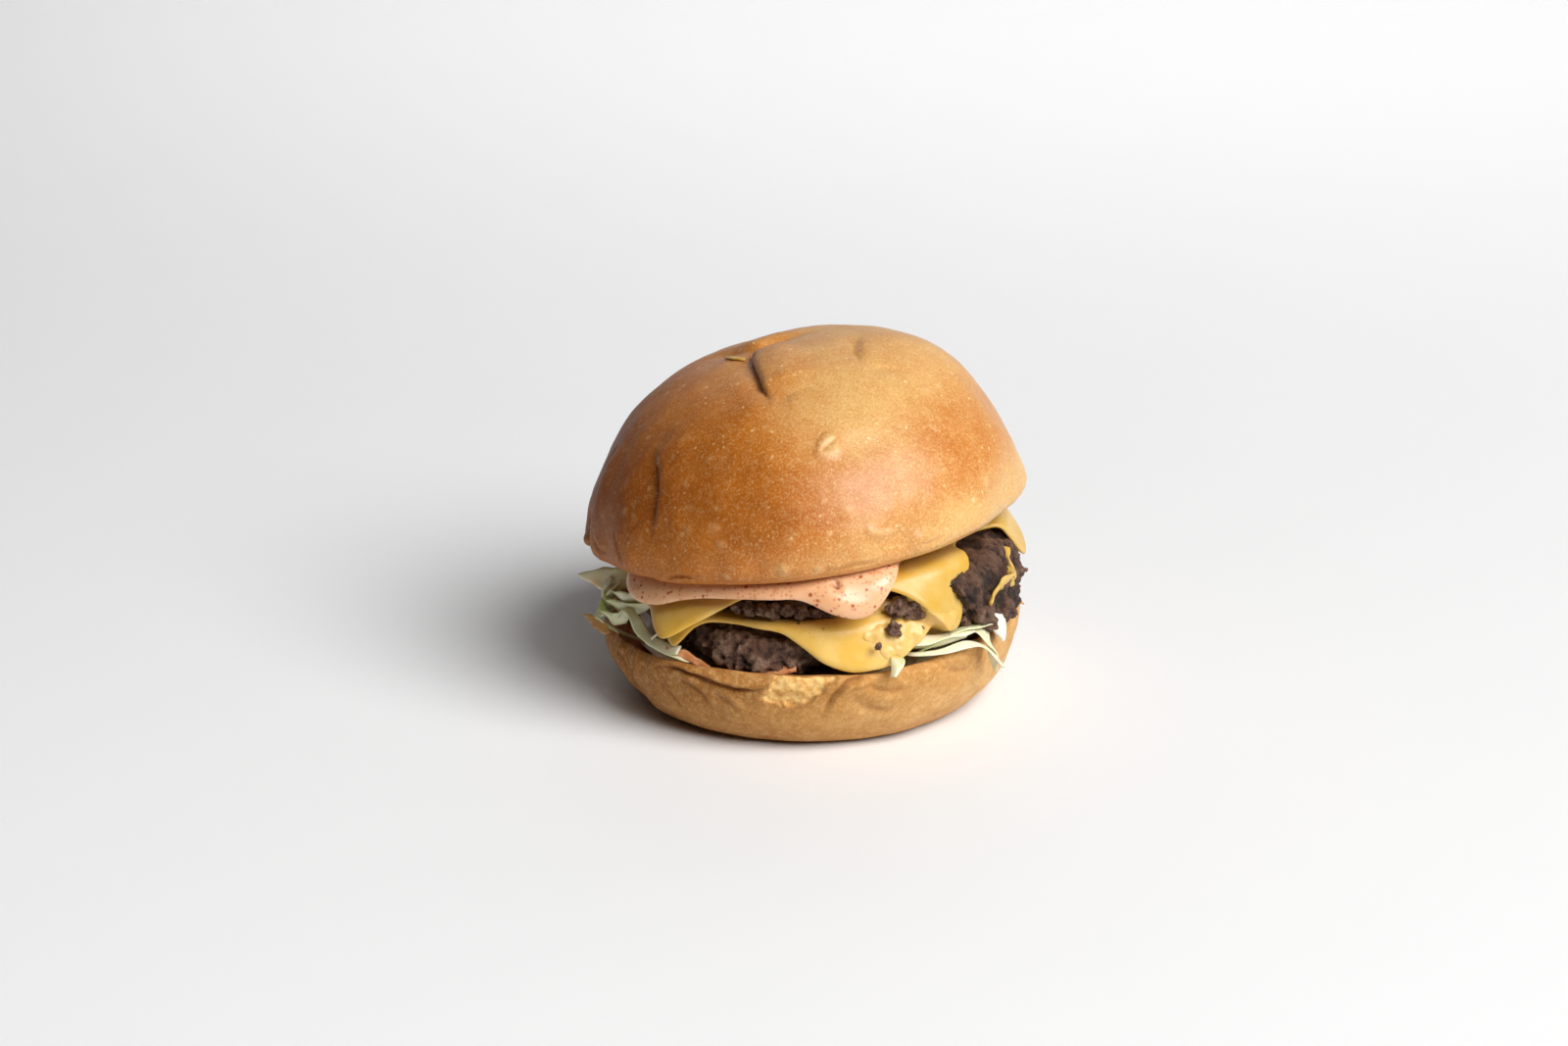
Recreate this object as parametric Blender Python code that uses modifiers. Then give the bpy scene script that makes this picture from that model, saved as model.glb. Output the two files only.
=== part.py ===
# A double cheeseburger: heel, shredded lettuce, two smashed patties, two cheese slices, sauce, crown.
# Metres, +Z up. The heel stands on z = 0 round the origin, and the front of the burger faces -Y.

import math

import bmesh
import bpy
from mathutils import Matrix, Vector, noise

mm = 0.001
LAYER_GAP = 0.45 * mm  # between two layers, where neither has to be cut back
CUT_GAP = 0.4 * mm  # a piece is cut back this far from a neighbour's face, and less at its edges
NOISE_SEED = Vector((3.7, 1.9, 8.3))

# A layer boundary is a plane: its height at the centre, its rise per metre to the right, and to the back.
HEEL_CUT = (15.2 * mm, 0.035, -0.010)
LETTUCE_TOP = (18.2 * mm, 0.045, -0.010)
LOWER_PATTY_TOP = (30.9 * mm, 0.055, -0.028)
LOWER_CHEESE_TOP = (33.2 * mm, 0.055, -0.028)
UPPER_PATTY_TOP = (39.2 * mm, 0.115, -0.035)
UPPER_CHEESE_TOP = (41.5 * mm, 0.115, -0.035)
CROWN_CUT = (45.2 * mm, 0.125, -0.048)

CROWN_RADIUS = 54.8 * mm
CROWN_HEIGHT = 42.5 * mm  # from the widest line up to the top
CROWN_LEAN = 3.0 * mm  # how far the top sits to the right of the middle
CROWN_LIP = 3.6 * mm  # from the widest line down to the lowest edge
CROWN_OFFSET = -1.5 * mm
HEEL_FOOT = 38.5 * mm  # the flat circle that the heel stands on
PATTY_LUMP = 8.0 * mm  # the size of a lump of mince
PATTY_CRAG = 1.5 * mm  # how far a lump stands out
SHRED_WAVE = 0.3 * mm
ONION_PLACE = Vector((46.6 * mm, -29.4 * mm, 26.6 * mm))

CRUST = (0.60, 0.27, 0.08)
PALE_CRUST = (0.66, 0.39, 0.16)
BEEF = (0.085, 0.045, 0.028)
CHEESE = (0.90, 0.56, 0.12)
SAUCE = (0.83, 0.51, 0.35)
LETTUCE = (0.66, 0.74, 0.38)
ONION = (0.88, 0.87, 0.80)


def clear_scene():
    for thing in list(bpy.data.objects):
        bpy.data.objects.remove(thing)


def collection(name):
    made = bpy.data.collections.new(name)
    bpy.context.scene.collection.children.link(made)
    return made


def material(name, colour, roughness):
    made = bpy.data.materials.new(name)
    made.use_nodes = True
    shader = made.node_tree.nodes["Principled BSDF"]
    shader.inputs["Base Color"].default_value = (*colour, 1)
    shader.inputs["Roughness"].default_value = roughness
    return made


def height(plane, x, y):
    return plane[0] + plane[1] * x + plane[2] * y


def around(values):
    """A smooth function of the angle through {degrees: value}. The front is -90, the right 0."""
    turns = sorted(values)

    def value(angle):
        degrees = math.degrees(angle)
        after = next((i for i, turn in enumerate(turns) if turn > degrees), 0)
        low, high = turns[after - 1], turns[after]
        share = ((degrees - low) % 360) / ((high - low) % 360 or 360)
        ease = share * share * (3 - 2 * share)
        return values[low] + (values[high] - values[low]) * ease

    return value


def around_mm(values):
    """The same for lengths in millimetres."""
    return around({turn: length * mm for turn, length in values.items()})


def smooth_route(points, steps):
    """Points along one smooth curve through the given ones, the ends included."""
    ends = [2 * points[0] - points[1], *points, 2 * points[-1] - points[-2]]
    route = []
    for i in range(steps + 1):
        place = i / steps * (len(points) - 1)
        first = min(int(place), len(points) - 2)
        a, b, c, d = ends[first : first + 4]
        t = place - first
        bend = (2 * a - 5 * b + 4 * c - d) * t * t + (3 * b - a - 3 * c + d) * t**3
        route.append(0.5 * (2 * b + (c - a) * t + bend))
    return route


def link(name, mesh, finish):
    made = bpy.data.objects.new(name, mesh)
    made.data.materials.append(finish)
    burger.objects.link(made)
    return made


def round_solid(name, segments, rings, place, finish):
    """A UV sphere with each point moved to place(angle, t), where t is 0 at the top and 1 at the bottom."""
    shape = bmesh.new()
    bmesh.ops.create_uvsphere(shape, u_segments=segments, v_segments=rings, radius=1)
    for vertex in shape.verts:
        angle = math.atan2(vertex.co.y, vertex.co.x)
        vertex.co = place(angle, math.acos(max(-1, min(1, vertex.co.z))) / math.pi)
    bmesh.ops.triangulate(shape, faces=shape.faces)  # so that a cutter made of it folds along the same lines
    mesh = bpy.data.meshes.new(name)
    shape.to_mesh(mesh)
    shape.free()
    mesh.shade_smooth()
    return link(name, mesh, finish)


def beside(point, path):
    """Distance from a plan point to a path, the side of it (-1 is its right), and how far along it is."""
    best = (1.0, 1.0, 0.0)
    for i, (start, end) in enumerate(zip(path, path[1:])):
        run = end - start
        share = max(0.0, min(1.0, (point - start).dot(run) / run.length_squared))
        away = point - (start + share * run)
        side = math.copysign(1.0, run.x * away.y - run.y * away.x)
        best = min(best, (away.length, side, (i + share) / (len(path) - 1)))
    return best


def plan(*points):
    return [Vector((x * mm, y * mm)) for x, y in points]


# Folds baked into the crown: the path in its own plan, its depth, its width, and the swell beside it.
CROWN_FOLDS = (
    (plan((-7.5, -9.5), (-8.3, -15.0), (-5.1, -26.3), (-3.4, -31.5)), 2.2 * mm, 2.4 * mm, 1.1 * mm),
    (plan((18.6, 0.4), (18.8, -11.2), (20.2, -15.9), (24.7, -17.5)), 0.7 * mm, 1.9 * mm, 0.5 * mm),
    (plan((-33.0, -27.0), (-33.5, -36.4), (-35.5, -41.5), (-36.6, -44.5)), 2.3 * mm, 2.6 * mm, 0.8 * mm),
    (plan((-44.5, -10.5), (-50.0, -15.2), (-54.5, -19.0)), 1.8 * mm, 2.4 * mm, 0.6 * mm),
    (plan((-42.5, -12.5), (-36.3, -12.0), (-31.8, -8.3)), 0.9 * mm, 2.2 * mm, 0.3 * mm),
    (plan((17.2, -50.5), (21.0, -51.5), (26.5, -49.0)), 0.8 * mm, 2.0 * mm, 0.5 * mm),
    (plan((12.0, 31.0), (15.0, 24.0), (22.0, 20.0)), 1.3 * mm, 2.4 * mm, 0.7 * mm),
    (plan((40.0, 26.0), (45.0, 31.0), (47.0, 35.0)), 1.6 * mm, 2.6 * mm, 0.6 * mm),
    (plan((-30.0, 32.0), (-35.0, 38.0), (-38.0, 42.0)), 1.8 * mm, 2.8 * mm, 0.6 * mm),
)
# Broad bumps and hollows of the crown, in mm: (x, y, z) from the middle of its widest line, size, height.
CROWN_SWELLS = (
    ((31, 0, 36), 17, 2.4),
    ((50, 0, 18), 13, -1.8),
    ((-22, -16, 37), 14, -0.9),
    ((-22, 4, 39), 13, -0.9),
    ((-55, -8, 1), 10, 0.9),
    ((-53, 2, 18), 11, -0.8),
)


def crown_relief(point):
    """How far the crust stands out there: slow swells of the dough, less the folds."""
    relief = 0.9 * mm * noise.noise(point / (26 * mm) + NOISE_SEED)
    relief += 0.35 * mm * noise.noise(point / (11 * mm) + NOISE_SEED)
    for path, depth, width, swell in CROWN_FOLDS:
        distance, side, along = beside(point.xy, path)
        taper = min(1.0, 0.25 + 5 * along, 0.25 + 5 * (1 - along))
        relief -= depth * taper * math.exp(-((distance / width) ** 2))
        if side > 0:
            relief += swell * taper * math.exp(-(((distance - 2.2 * width) / (1.6 * width)) ** 2))
    for centre, size, rise in CROWN_SWELLS:
        relief += rise * mm * math.exp(-(((point - Vector(centre) * mm).length / (size * mm)) ** 2))
    return relief


def crown_place(angle, t):
    """The dome down to its widest line, the lip turned in under it, and the cut face."""
    dome_share = 0.78
    if t <= dome_share:
        tip = t / dome_share * math.pi / 2
        radius, z = CROWN_RADIUS * math.sin(tip), CROWN_HEIGHT * math.cos(tip)
    else:
        lip = ((1.0, 0.0), (0.990, 0.55), (0.965, 0.95), (0.92, 1.0), (0.60, 0.86), (0.0, 0.86))
        place = (t - dome_share) / (1 - dome_share) * (len(lip) - 1)
        first = min(int(place), len(lip) - 2)
        share = place - first
        radius = CROWN_RADIUS * (lip[first][0] * (1 - share) + lip[first + 1][0] * share)
        z = -CROWN_LIP * (lip[first][1] * (1 - share) + lip[first + 1][1] * share)
    radius *= crown_outline(angle)
    point = Vector((radius * math.cos(angle), radius * math.sin(angle), z))
    if t < 0.92:
        out = Vector((point.x / CROWN_RADIUS, point.y / CROWN_RADIUS, max(z, 0) / CROWN_HEIGHT))
        point += out.normalized() * crown_relief(point)
    point.x += CROWN_LEAN * z / CROWN_HEIGHT
    return point


def make_crown():
    crown = round_solid("crown", 80, 18, crown_place, material("crown_crust", CRUST, 0.38))
    lift = CROWN_CUT[0] + LAYER_GAP / 2 + 0.86 * CROWN_LIP
    roll = Matrix.Rotation(-math.atan(CROWN_CUT[1]), 4, "Y")
    pitch = Matrix.Rotation(math.atan(CROWN_CUT[2]), 4, "X")
    crown.matrix_world = Matrix.Translation((CROWN_OFFSET, 0, lift)) @ pitch @ roll
    return crown


def heel_profile(angle):
    """(radius, height) from the middle of the cut face, over the curled lip, down the wall and under."""
    outer = heel_outline(angle)
    lip = heel_lip(angle)
    middle = HEEL_CUT[0] - LAYER_GAP / 2
    cut = height(HEEL_CUT, 0.86 * outer * math.cos(angle), 0.86 * outer * math.sin(angle)) - LAYER_GAP / 2
    return (
        (0, middle),
        (0.43 * outer, (middle + cut) / 2),
        (outer - 9.0 * mm, cut),
        (outer - 5.6 * mm, cut + 0.30 * (lip - cut)),
        (outer - 3.4 * mm, lip - 1.4 * mm),
        (outer - 2.0 * mm, lip - 0.1 * mm),
        (outer - 0.8 * mm, lip - 0.3 * mm),
        (outer, lip - 2.0 * mm),
        (outer - 0.4 * mm, lip - 5.5 * mm),
        (outer - 2.0 * mm, 0.52 * lip),
        (outer - 4.2 * mm, 0.32 * lip),
        (outer - 7.0 * mm, 0.17 * lip),
        (outer - 10.0 * mm, 0.06 * lip),
        (HEEL_FOOT, 0),
        (0.5 * HEEL_FOOT, 0),
        (0, 0),
    )


# Upright folds of the heel's wall: the angle in degrees, the depth, and the width in degrees.
HEEL_FOLDS = ((-152, 1.3 * mm, 3.4), (-163, 0.9 * mm, 3.0), (-118, 0.6 * mm, 5.0), (130, 1.0 * mm, 4.0))
# Where the crust is torn off: the angle and half width in degrees, the height, half height and depth.
TORN = (-94.0, 8.5, 18.0 * mm, 3.6 * mm, 0.9 * mm)
FLAKE = (-165.4, 3.2 * mm)  # a thin flake of crust that sticks out of the lip: its angle and its length


def turn_from(angle, degrees):
    return (math.degrees(angle) - degrees + 180) % 360 - 180


def heel_relief(angle, z):
    """The wall's slow dents, the folds, and the patch where the crust is torn off."""
    relief = 0.5 * mm * noise.noise(Vector((4 * math.cos(angle), 4 * math.sin(angle), z / (9 * mm))))
    for fold, depth, width in HEEL_FOLDS:
        relief -= depth * math.exp(-((turn_from(angle, fold) / width) ** 2))
    turn, half_width, middle, half_height, depth = TORN
    if abs(turn_from(angle, turn)) < half_width and abs(z - middle) < half_height:
        relief -= depth
    return relief


def heel_place(angle, t):
    profile = heel_profile(angle)
    ring = round(t * (len(profile) - 1))
    radius, z = profile[ring]
    if 6 < ring < 13:
        radius += heel_relief(angle, z)
    if ring == 6:
        radius += FLAKE[1] * max(0.0, 1 - abs(turn_from(angle, FLAKE[0])) / 4)
    return Vector((radius * math.cos(angle), radius * math.sin(angle), z))


def make_heel():
    rings = len(heel_profile(0)) - 1
    return round_solid("heel", 74, rings, heel_place, material("heel_crust", PALE_CRUST, 0.6))


def sheet_run(length, edge, droop, bend):
    """Radius, drop and slope of a sheet's middle at that length out: flat, then bent down past the edge."""
    over = length - edge
    if over <= 0:
        return length, 0.0, 0.0
    turn = min(over / bend, droop)
    straight = over - bend * turn
    radius = edge + bend * math.sin(turn) + straight * math.cos(turn)
    drop = bend * (1 - math.cos(turn)) + straight * math.sin(turn)
    return radius, drop, turn


def layer_place(under, over, outline, edge, droop, bend, blunt, thicken=None, relief=None):
    """Places the points of one layer, which lies between two planes and may bend down past its edge."""

    def place(angle, t):
        side = 1 if t <= 0.5 else -1
        share = 1 - (1 - 2 * min(t, 1 - t)) ** 2.0
        length = share * outline(angle)
        radius, drop, slope = sheet_run(length, edge(angle), droop(angle), bend)
        ray = Vector((math.cos(angle), math.sin(angle), 0))
        x, y = (ray * length).xy
        low, high = height(under, x, y) + LAYER_GAP / 2, height(over, x, y) - LAYER_GAP / 2
        half = (high - low) / 2 * math.sqrt(max(0.0, 1 - share**blunt))
        if thicken:
            half *= 1 + (thicken(angle) - 1) * share**4
        point = ray * (radius + side * half * math.sin(slope))
        point.z = (low + high) / 2 - drop + side * half * math.cos(slope)
        if relief:
            point += relief(point, ray, share)
        return point

    return place


def beef_relief(point, ray, share):
    """Lumps of mince at the rim, fading out towards the flat middle that nothing shows."""
    lumps = noise.voronoi(point / PATTY_LUMP + NOISE_SEED)[0][0]
    ragged = noise.noise(point / (4 * mm) + NOISE_SEED)
    out = PATTY_CRAG * (0.9 - 1.9 * lumps) + 0.5 * mm * ragged
    return ray * out * share**6


def make_layers():
    """The layers from the bottom up."""
    flat = around({0: 0.0})
    level = around_mm({0: 60.0})
    lower_patty = round_solid("patty_lower", 64, 11, layer_place(
        LETTUCE_TOP, LOWER_PATTY_TOP, lower_patty_outline, level, flat, 4 * mm, 12, relief=beef_relief,
    ), material("beef_lower", BEEF, 0.62))
    lower_cheese = round_solid("cheese_lower", 60, 9, layer_place(
        LOWER_PATTY_TOP, LOWER_CHEESE_TOP, lower_cheese_outline, lower_cheese_edge, lower_cheese_droop,
        2.6 * mm, 16,
    ), material("cheese_lower", CHEESE, 0.32))
    upper_patty = round_solid("patty_upper", 64, 11, layer_place(
        LOWER_CHEESE_TOP, UPPER_PATTY_TOP, upper_patty_outline, upper_patty_edge, upper_patty_droop,
        6 * mm, 12, thicken=upper_patty_swell, relief=beef_relief,
    ), material("beef_upper", BEEF, 0.62))
    upper_cheese = round_solid("cheese_upper", 60, 9, layer_place(
        UPPER_PATTY_TOP, UPPER_CHEESE_TOP, upper_cheese_outline, upper_cheese_edge, upper_cheese_droop,
        3.0 * mm, 16,
    ), material("cheese_upper", CHEESE, 0.32))
    spread = round_solid("sauce", 56, 9, layer_place(
        UPPER_CHEESE_TOP, CROWN_CUT, sauce_outline, sauce_edge, sauce_droop, 4.5 * mm, 5,
        thicken=sauce_swell,
    ), material("pink_sauce", SAUCE, 0.25))
    return lower_patty, lower_cheese, upper_patty, upper_cheese, spread


def shred(name, route, width, thick, tip, steps):
    """A strip of leaf: a grid bent along the route, its width level unless the route's roll turns it."""
    places = smooth_route([Vector(point[:3]) * mm for point in route], steps)
    rolls = smooth_route([Vector((point[3], 0, 0)) for point in route], steps)
    shape = bmesh.new()
    bmesh.ops.create_grid(shape, x_segments=steps, y_segments=1, size=1)
    for vertex in shape.verts:
        i = round((vertex.co.x + 1) / 2 * steps)
        along = i / steps
        ahead = (places[min(i + 1, steps)] - places[max(i - 1, 0)]).normalized()
        turn = Matrix.Rotation(math.radians(rolls[i].x), 3, ahead)
        across = turn @ ahead.cross(Vector((0, 0, 1))).normalized()
        taper = min(1.0, 0.6 + along) * (1 - (1 - tip) * along**3)
        wave = SHRED_WAVE * math.sin(2.1 * i + width / mm)
        vertex.co = places[i] + across.cross(ahead) * wave + across * width * taper * vertex.co.y / 2
    bmesh.ops.triangulate(shape, faces=shape.faces)
    mesh = bpy.data.meshes.new(name)
    shape.to_mesh(mesh)
    shape.free()
    strip = bpy.data.objects.new(name, mesh)
    solid = strip.modifiers.new("thickness", "SOLIDIFY")
    solid.thickness = thick
    solid.offset = 0
    return strip


# Shreds that show at the front. In mm: the width, the thickness and the points (x, y, z) from bed to tip.
# Between them: the roll at the tip in degrees, and the tip's share of the width.
FRONT_SHREDS = (
    (10.5, 1.2, 74, 0.15,
     ((-38, -12, 15), (-46, -14, 17), (-49, -13.5, 23), (-49, -13.5, 28), (-52, -12, 32), (-58, -8.5, 31.8))),
    (4.2, 1.1, 40, 0.4,
     ((-37, -16, 15), (-45.5, -19, 17), (-49, -19.5, 22), (-50, -19.5, 28), (-50.5, -19.5, 32))),
    (5.0, 1.1, 60, 0.4,
     ((-39, -9, 15), (-46, -12, 17), (-50, -16, 23), (-48.5, -22, 28), (-43, -28, 30.5))),
    (4.5, 1.1, 50, 0.4,
     ((-37, -18, 15), (-44.5, -20, 17.5), (-49.5, -19, 22.5), (-47, -25, 25), (-42.5, -29, 26))),
    (3.4, 1.1, 20, 0.5,
     ((-29, -31, 15.6), (-35, -34.5, 20.5), (-39.5, -33.8, 22.8), (-43.2, -30.0, 25.4), (-44.8, -26.5, 29.2))),
    (3.2, 1.1, 0, 0.5,
     ((-24, -33, 16.2), (-28, -37.5, 20.0), (-31.5, -38.8, 22.6), (-35.5, -36.8, 23.4))),
    (4.2, 1.1, 10, 0.4,
     ((24, -35, 18.2), (26, -40.5, 22.6), (27.5, -42.2, 26.6), (34, -39.5, 27.8), (43.5, -32.8, 27.6))),
    (3.0, 1.1, 15, 0.4,
     ((22, -37, 18.2), (24.5, -42.3, 23.2), (32, -42.2, 24.8), (40.5, -37.8, 24.2), (47.0, -33.2, 16.6))),
    (6.5, 1.1, 0, 0.5,
     ((33, -27, 18.4), (37.5, -31, 23.4), (41.6, -33.8, 26.0), (44.4, -34.0, 23.2), (45.4, -32.8, 16))),
    (4.8, 1.1, 0, 0.5,
     ((15, -37, 17.8), (17.5, -43.5, 21.6), (20.4, -47.6, 25.2), (20.6, -50.8, 25.0), (19.6, -52.8, 22.4))),
)
BACK_SHREDS = 6
BACK_SHRED_WIDTH = 4.8  # in mm
BED_RADIUS = 44.0  # in mm


def back_shreds():
    """Shreds that come out over the heel's lip at the sides and the back, evenly spaced."""
    for i in range(BACK_SHREDS):
        turn = math.radians(20 + 132 * i / (BACK_SHREDS - 1))
        swing = math.radians(9 * math.sin(2.7 * i))
        lip = heel_lip(turn) / mm
        rim = heel_outline(turn) / mm
        edge = Vector((math.cos(turn), math.sin(turn))) * BED_RADIUS * mm
        bed = height(HEEL_CUT, *edge) / mm + 1.5
        reach = 3.2 + 1.6 * math.sin(1.9 * i)
        route = []
        for radius, z, share in (
            (BED_RADIUS - 5, bed, 0.0),
            (BED_RADIUS + 0.7, bed + 0.7, 0.3),
            (rim - 4.4, (bed + lip) / 2 + 1.25, 0.5),
            (rim - 1.6, lip + 1.0, 0.7),
            (rim + 1.0, lip + 0.6, 0.8),
            (rim + reach, lip - 0.4 * reach, 1.0),
        ):
            away = turn + swing * share
            route.append((radius * math.cos(away), radius * math.sin(away), z, 12 * math.sin(i + 3 * share)))
        yield route, BACK_SHRED_WIDTH + math.sin(5.1 * i), 1.1


def make_lettuce():
    """A flat bed under the lower patty with the shreds that show fused on."""
    bed = round_solid("lettuce", 40, 6, layer_place(
        HEEL_CUT, LETTUCE_TOP, around_mm({0: BED_RADIUS}), around_mm({0: 60.0}), around({0: 0.0}), 4 * mm, 8,
    ), material("lettuce_leaf", LETTUCE, 0.4))
    strips = collection("shreds")
    for i, (width, thick, roll, tip, route) in enumerate(FRONT_SHREDS):
        rolled = [(*point, roll * min(1, 0.5 * j)) for j, point in enumerate(route)]
        strips.objects.link(shred(f"front_shred_{i}", rolled, width * mm, thick * mm, tip, 8))
    for i, (route, width, thick) in enumerate(back_shreds()):
        strips.objects.link(shred(f"back_shred_{i}", route, width * mm, thick * mm, 0.5, 7))
    join = bed.modifiers.new("shreds", "BOOLEAN")
    join.operation = "UNION"
    join.operand_type = "COLLECTION"
    join.collection = strips
    join.solver = "MANIFOLD"
    settle(bed)
    for strip in list(strips.objects):
        bpy.data.objects.remove(strip)
    bpy.data.collections.remove(strips)
    return bed


def make_onion():
    """The pointed piece of onion that lies over the heel's lip on the right, its tip outside and down."""

    def place(angle, t):
        tip = t * math.pi
        taper = 1 + 0.62 * math.cos(tip)
        x = 2.7 * mm * taper * math.sin(tip) * math.cos(angle)
        y = 1.0 * mm * math.sin(tip) * math.sin(angle)
        return Vector((x, y, 3.5 * mm * math.cos(tip)))

    piece = round_solid("onion_piece", 14, 8, place, material("onion_flesh", ONION, 0.35))
    lean = Matrix.Rotation(math.radians(-16), 4, "X")
    piece.matrix_world = Matrix.Translation(ONION_PLACE) @ Matrix.Rotation(math.radians(57), 4, "Z") @ lean
    return piece


def settle(piece):
    """Applies the modifiers and keeps the largest body, without the scraps that a cut leaves loose."""
    bpy.context.view_layer.update()
    mesh = bpy.data.meshes.new_from_object(piece.evaluated_get(bpy.context.evaluated_depsgraph_get()))
    piece.modifiers.clear()
    piece.data = mesh
    shape = bmesh.new()
    shape.from_mesh(mesh)
    bmesh.ops.remove_doubles(shape, verts=shape.verts, dist=0.001 * mm)
    left = set(shape.faces)
    bodies = []
    while left:
        body, edge = [], [left.pop()]
        while edge:
            face = edge.pop()
            body.append(face)
            for other in {other for side in face.edges for other in side.link_faces} & left:
                left.discard(other)
                edge.append(other)
        bodies.append(body)
    bodies.sort(key=lambda body: sum(face.calc_area() for face in body))
    for scrap in bodies[:-1]:
        bmesh.ops.delete(shape, geom=scrap, context="FACES")
    bmesh.ops.triangulate(shape, faces=shape.faces)
    shape.to_mesh(mesh)
    shape.free()
    mesh.update()


def cutter_for(piece):
    """The piece swollen by the gap, to cut its neighbours back with."""
    cutter = bpy.data.objects.new(f"{piece.name}_cutter", piece.data.copy())
    cutter.matrix_world = piece.matrix_world
    cutter.hide_render = True
    cutter.display_type = "WIRE"
    cutters.objects.link(cutter)
    swell = cutter.modifiers.new("gap", "DISPLACE")
    swell.strength = CUT_GAP
    swell.mid_level = 0
    return cutter


def keep_clear(piece, *neighbours):
    """Cuts the piece back to leave a gap to each neighbour as it was before its own cuts."""
    for neighbour in neighbours:
        cut = piece.modifiers.new("clear", "BOOLEAN")
        cut.operation = "DIFFERENCE"
        cut.solver = "MANIFOLD"
        cut.object = cutter_of[neighbour]
    settle(piece)


# The outlines, and where and how far each layer bends down, by the angle round the burger in degrees.
crown_outline = around({
    -180: 0.992, -145: 1.0, -90: 1.004, -40: 0.99, -5: 1.008, 40: 0.985, 100: 1.0, 150: 0.985,
})
heel_outline = around_mm({
    -170: 52.0, -150: 52.6, -120: 53.0, -90: 52.4, -45: 52.6, 0: 53.6, 90: 52.0, 150: 51.6,
})
heel_lip = around_mm({
    -170: 18.6, -150: 19.6, -125: 21.6, -90: 22.3, -68: 22.0, -45: 23.6, 0: 24.4, 90: 22.0, 150: 19.5,
})
lower_patty_outline = around_mm({
    -170: 41.5, -138: 41.5, -124: 45.0, -114: 49.5, -98: 50.0, -89: 45.0, -75: 43.5, -60: 44.0, -46: 45.0,
    -34: 48.0, -22: 51.5, -2: 50.5, 14: 46.5, 50: 45.0, 90: 45.5, 135: 44.0,
})
upper_patty_outline = around_mm({
    -170: 42.5, -125: 42.5, -88: 45.0, -60: 46.5, -50: 49.0, -44: 57.0, -38: 63.0, -30: 64.5, -22: 64.5,
    -14: 62.5, -6: 59.0, 0: 56.0, 12: 51.5, 35: 49.0, 90: 48.0, 140: 45.0,
})
upper_patty_edge = around_mm({-90: 60.0, -55: 50.0, -42: 45.5, -25: 44.0, -5: 44.0, 35: 47.0, 120: 60.0})
upper_patty_droop = around({-90: 0.0, -56: 0.3, -44: 1.15, -22: 1.15, -4: 1.15, 35: 0.3, 90: 0.0})
upper_patty_swell = around({-90: 1.0, -45: 0.95, -15: 0.62, 30: 0.95, 180: 1.0})
lower_cheese_outline = around_mm({
    -165: 43.0, -146: 45.0, -138: 50.0, -131: 54.0, -126: 48.5, -120: 46.0, -112: 46.0, -104: 47.8, -98: 49.4,
    -92: 53.0, -86: 57.0, -80: 59.2, -72: 59.6, -66: 58.5, -60: 55.4, -50: 49.5, -38: 48.0, -26: 49.0,
    -14: 48.5, 2: 47.5, 20: 53.5, 62: 48.0, 107: 57.0, 150: 47.0,
})
lower_cheese_edge = around_mm({
    -131: 45.0, -100: 47.0, -75: 46.0, -50: 46.5, -25: 50.5, 17: 50.0, 107: 47.5, 180: 46.0,
})
lower_cheese_droop = around({
    -131: 1.0, -112: 0.3, -95: 1.1, -75: 1.25, -50: 0.9, -25: 1.1, 17: 0.7, 62: 0.4, 107: 0.9, 180: 0.2,
})
upper_cheese_outline = around_mm({
    -165: 45.0, -150: 48.0, -140: 52.5, -133: 57.5, -128: 60.0, -122: 55.5, -116: 50.5, -110: 46.2,
    -100: 45.0, -80: 46.0, -69: 49.0, -61: 54.2, -55: 61.0, -50: 66.0, -46: 65.5, -42: 57.0, -37: 46.0,
    -34: 43.0, -18: 43.0, -12: 50.0, -6: 60.0, -1: 60.0, 6: 53.0, 14: 49.5, 50: 46.0, 90: 47.0, 132: 58.0,
    160: 47.0,
})
upper_cheese_edge = around_mm({
    -130: 43.5, -90: 44.5, -46: 46.5, -20: 46.5, -5: 46.5, 10: 47.0, 60: 46.5, 135: 45.0,
})
upper_cheese_droop = around({
    -130: 0.55, -90: 0.3, -60: 1.0, -46: 1.4, -20: 1.1, -4: 1.1, 10: 0.9, 60: 0.3, 100: 0.3, 132: 0.9,
})
sauce_outline = around_mm({
    -165: 44.0, -154: 48.5, -148: 53.5, -142: 55.8, -134: 56.2, -126: 54.2, -118: 53.2, -110: 53.2,
    -100: 54.0, -93: 54.8, -84: 59.5, -77: 61.4, -72: 59.0, -67: 53.0, -62: 46.0, -20: 42.0, 90: 44.0,
})
sauce_edge = around_mm({-125: 48.5, -97: 49.5, -75: 49.5, 90: 50.0})
sauce_droop = around({-125: 0.85, -97: 0.8, -75: 1.25, -40: 0.2, 90: 0.2, 180: 0.4})
sauce_swell = around({-125: 1.6, -97: 1.15, -75: 1.8, -50: 1.0, 90: 1.0, 180: 1.0})

clear_scene()
burger = collection("cheeseburger")
cutters = collection("cutters")

crown = make_crown()
heel = make_heel()
patty_lower, cheese_lower, patty_upper, cheese_upper, sauce_spread = make_layers()
onion_piece = make_onion()
lettuce = make_lettuce()

pieces = (crown, heel, patty_lower, cheese_lower, patty_upper, cheese_upper, sauce_spread, onion_piece)
cutter_of = {piece: cutter_for(piece) for piece in pieces}
keep_clear(patty_lower, heel)
keep_clear(cheese_lower, heel, patty_lower)
keep_clear(patty_upper, crown, patty_lower, cheese_lower)
keep_clear(cheese_upper, crown, patty_lower, cheese_lower, patty_upper)
keep_clear(sauce_spread, crown, cheese_lower, patty_upper, cheese_upper)
keep_clear(onion_piece, heel, patty_lower, cheese_lower, patty_upper)
keep_clear(lettuce, *pieces)
for cutter in cutter_of.values():
    bpy.data.objects.remove(cutter)
bpy.data.collections.remove(cutters)
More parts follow.
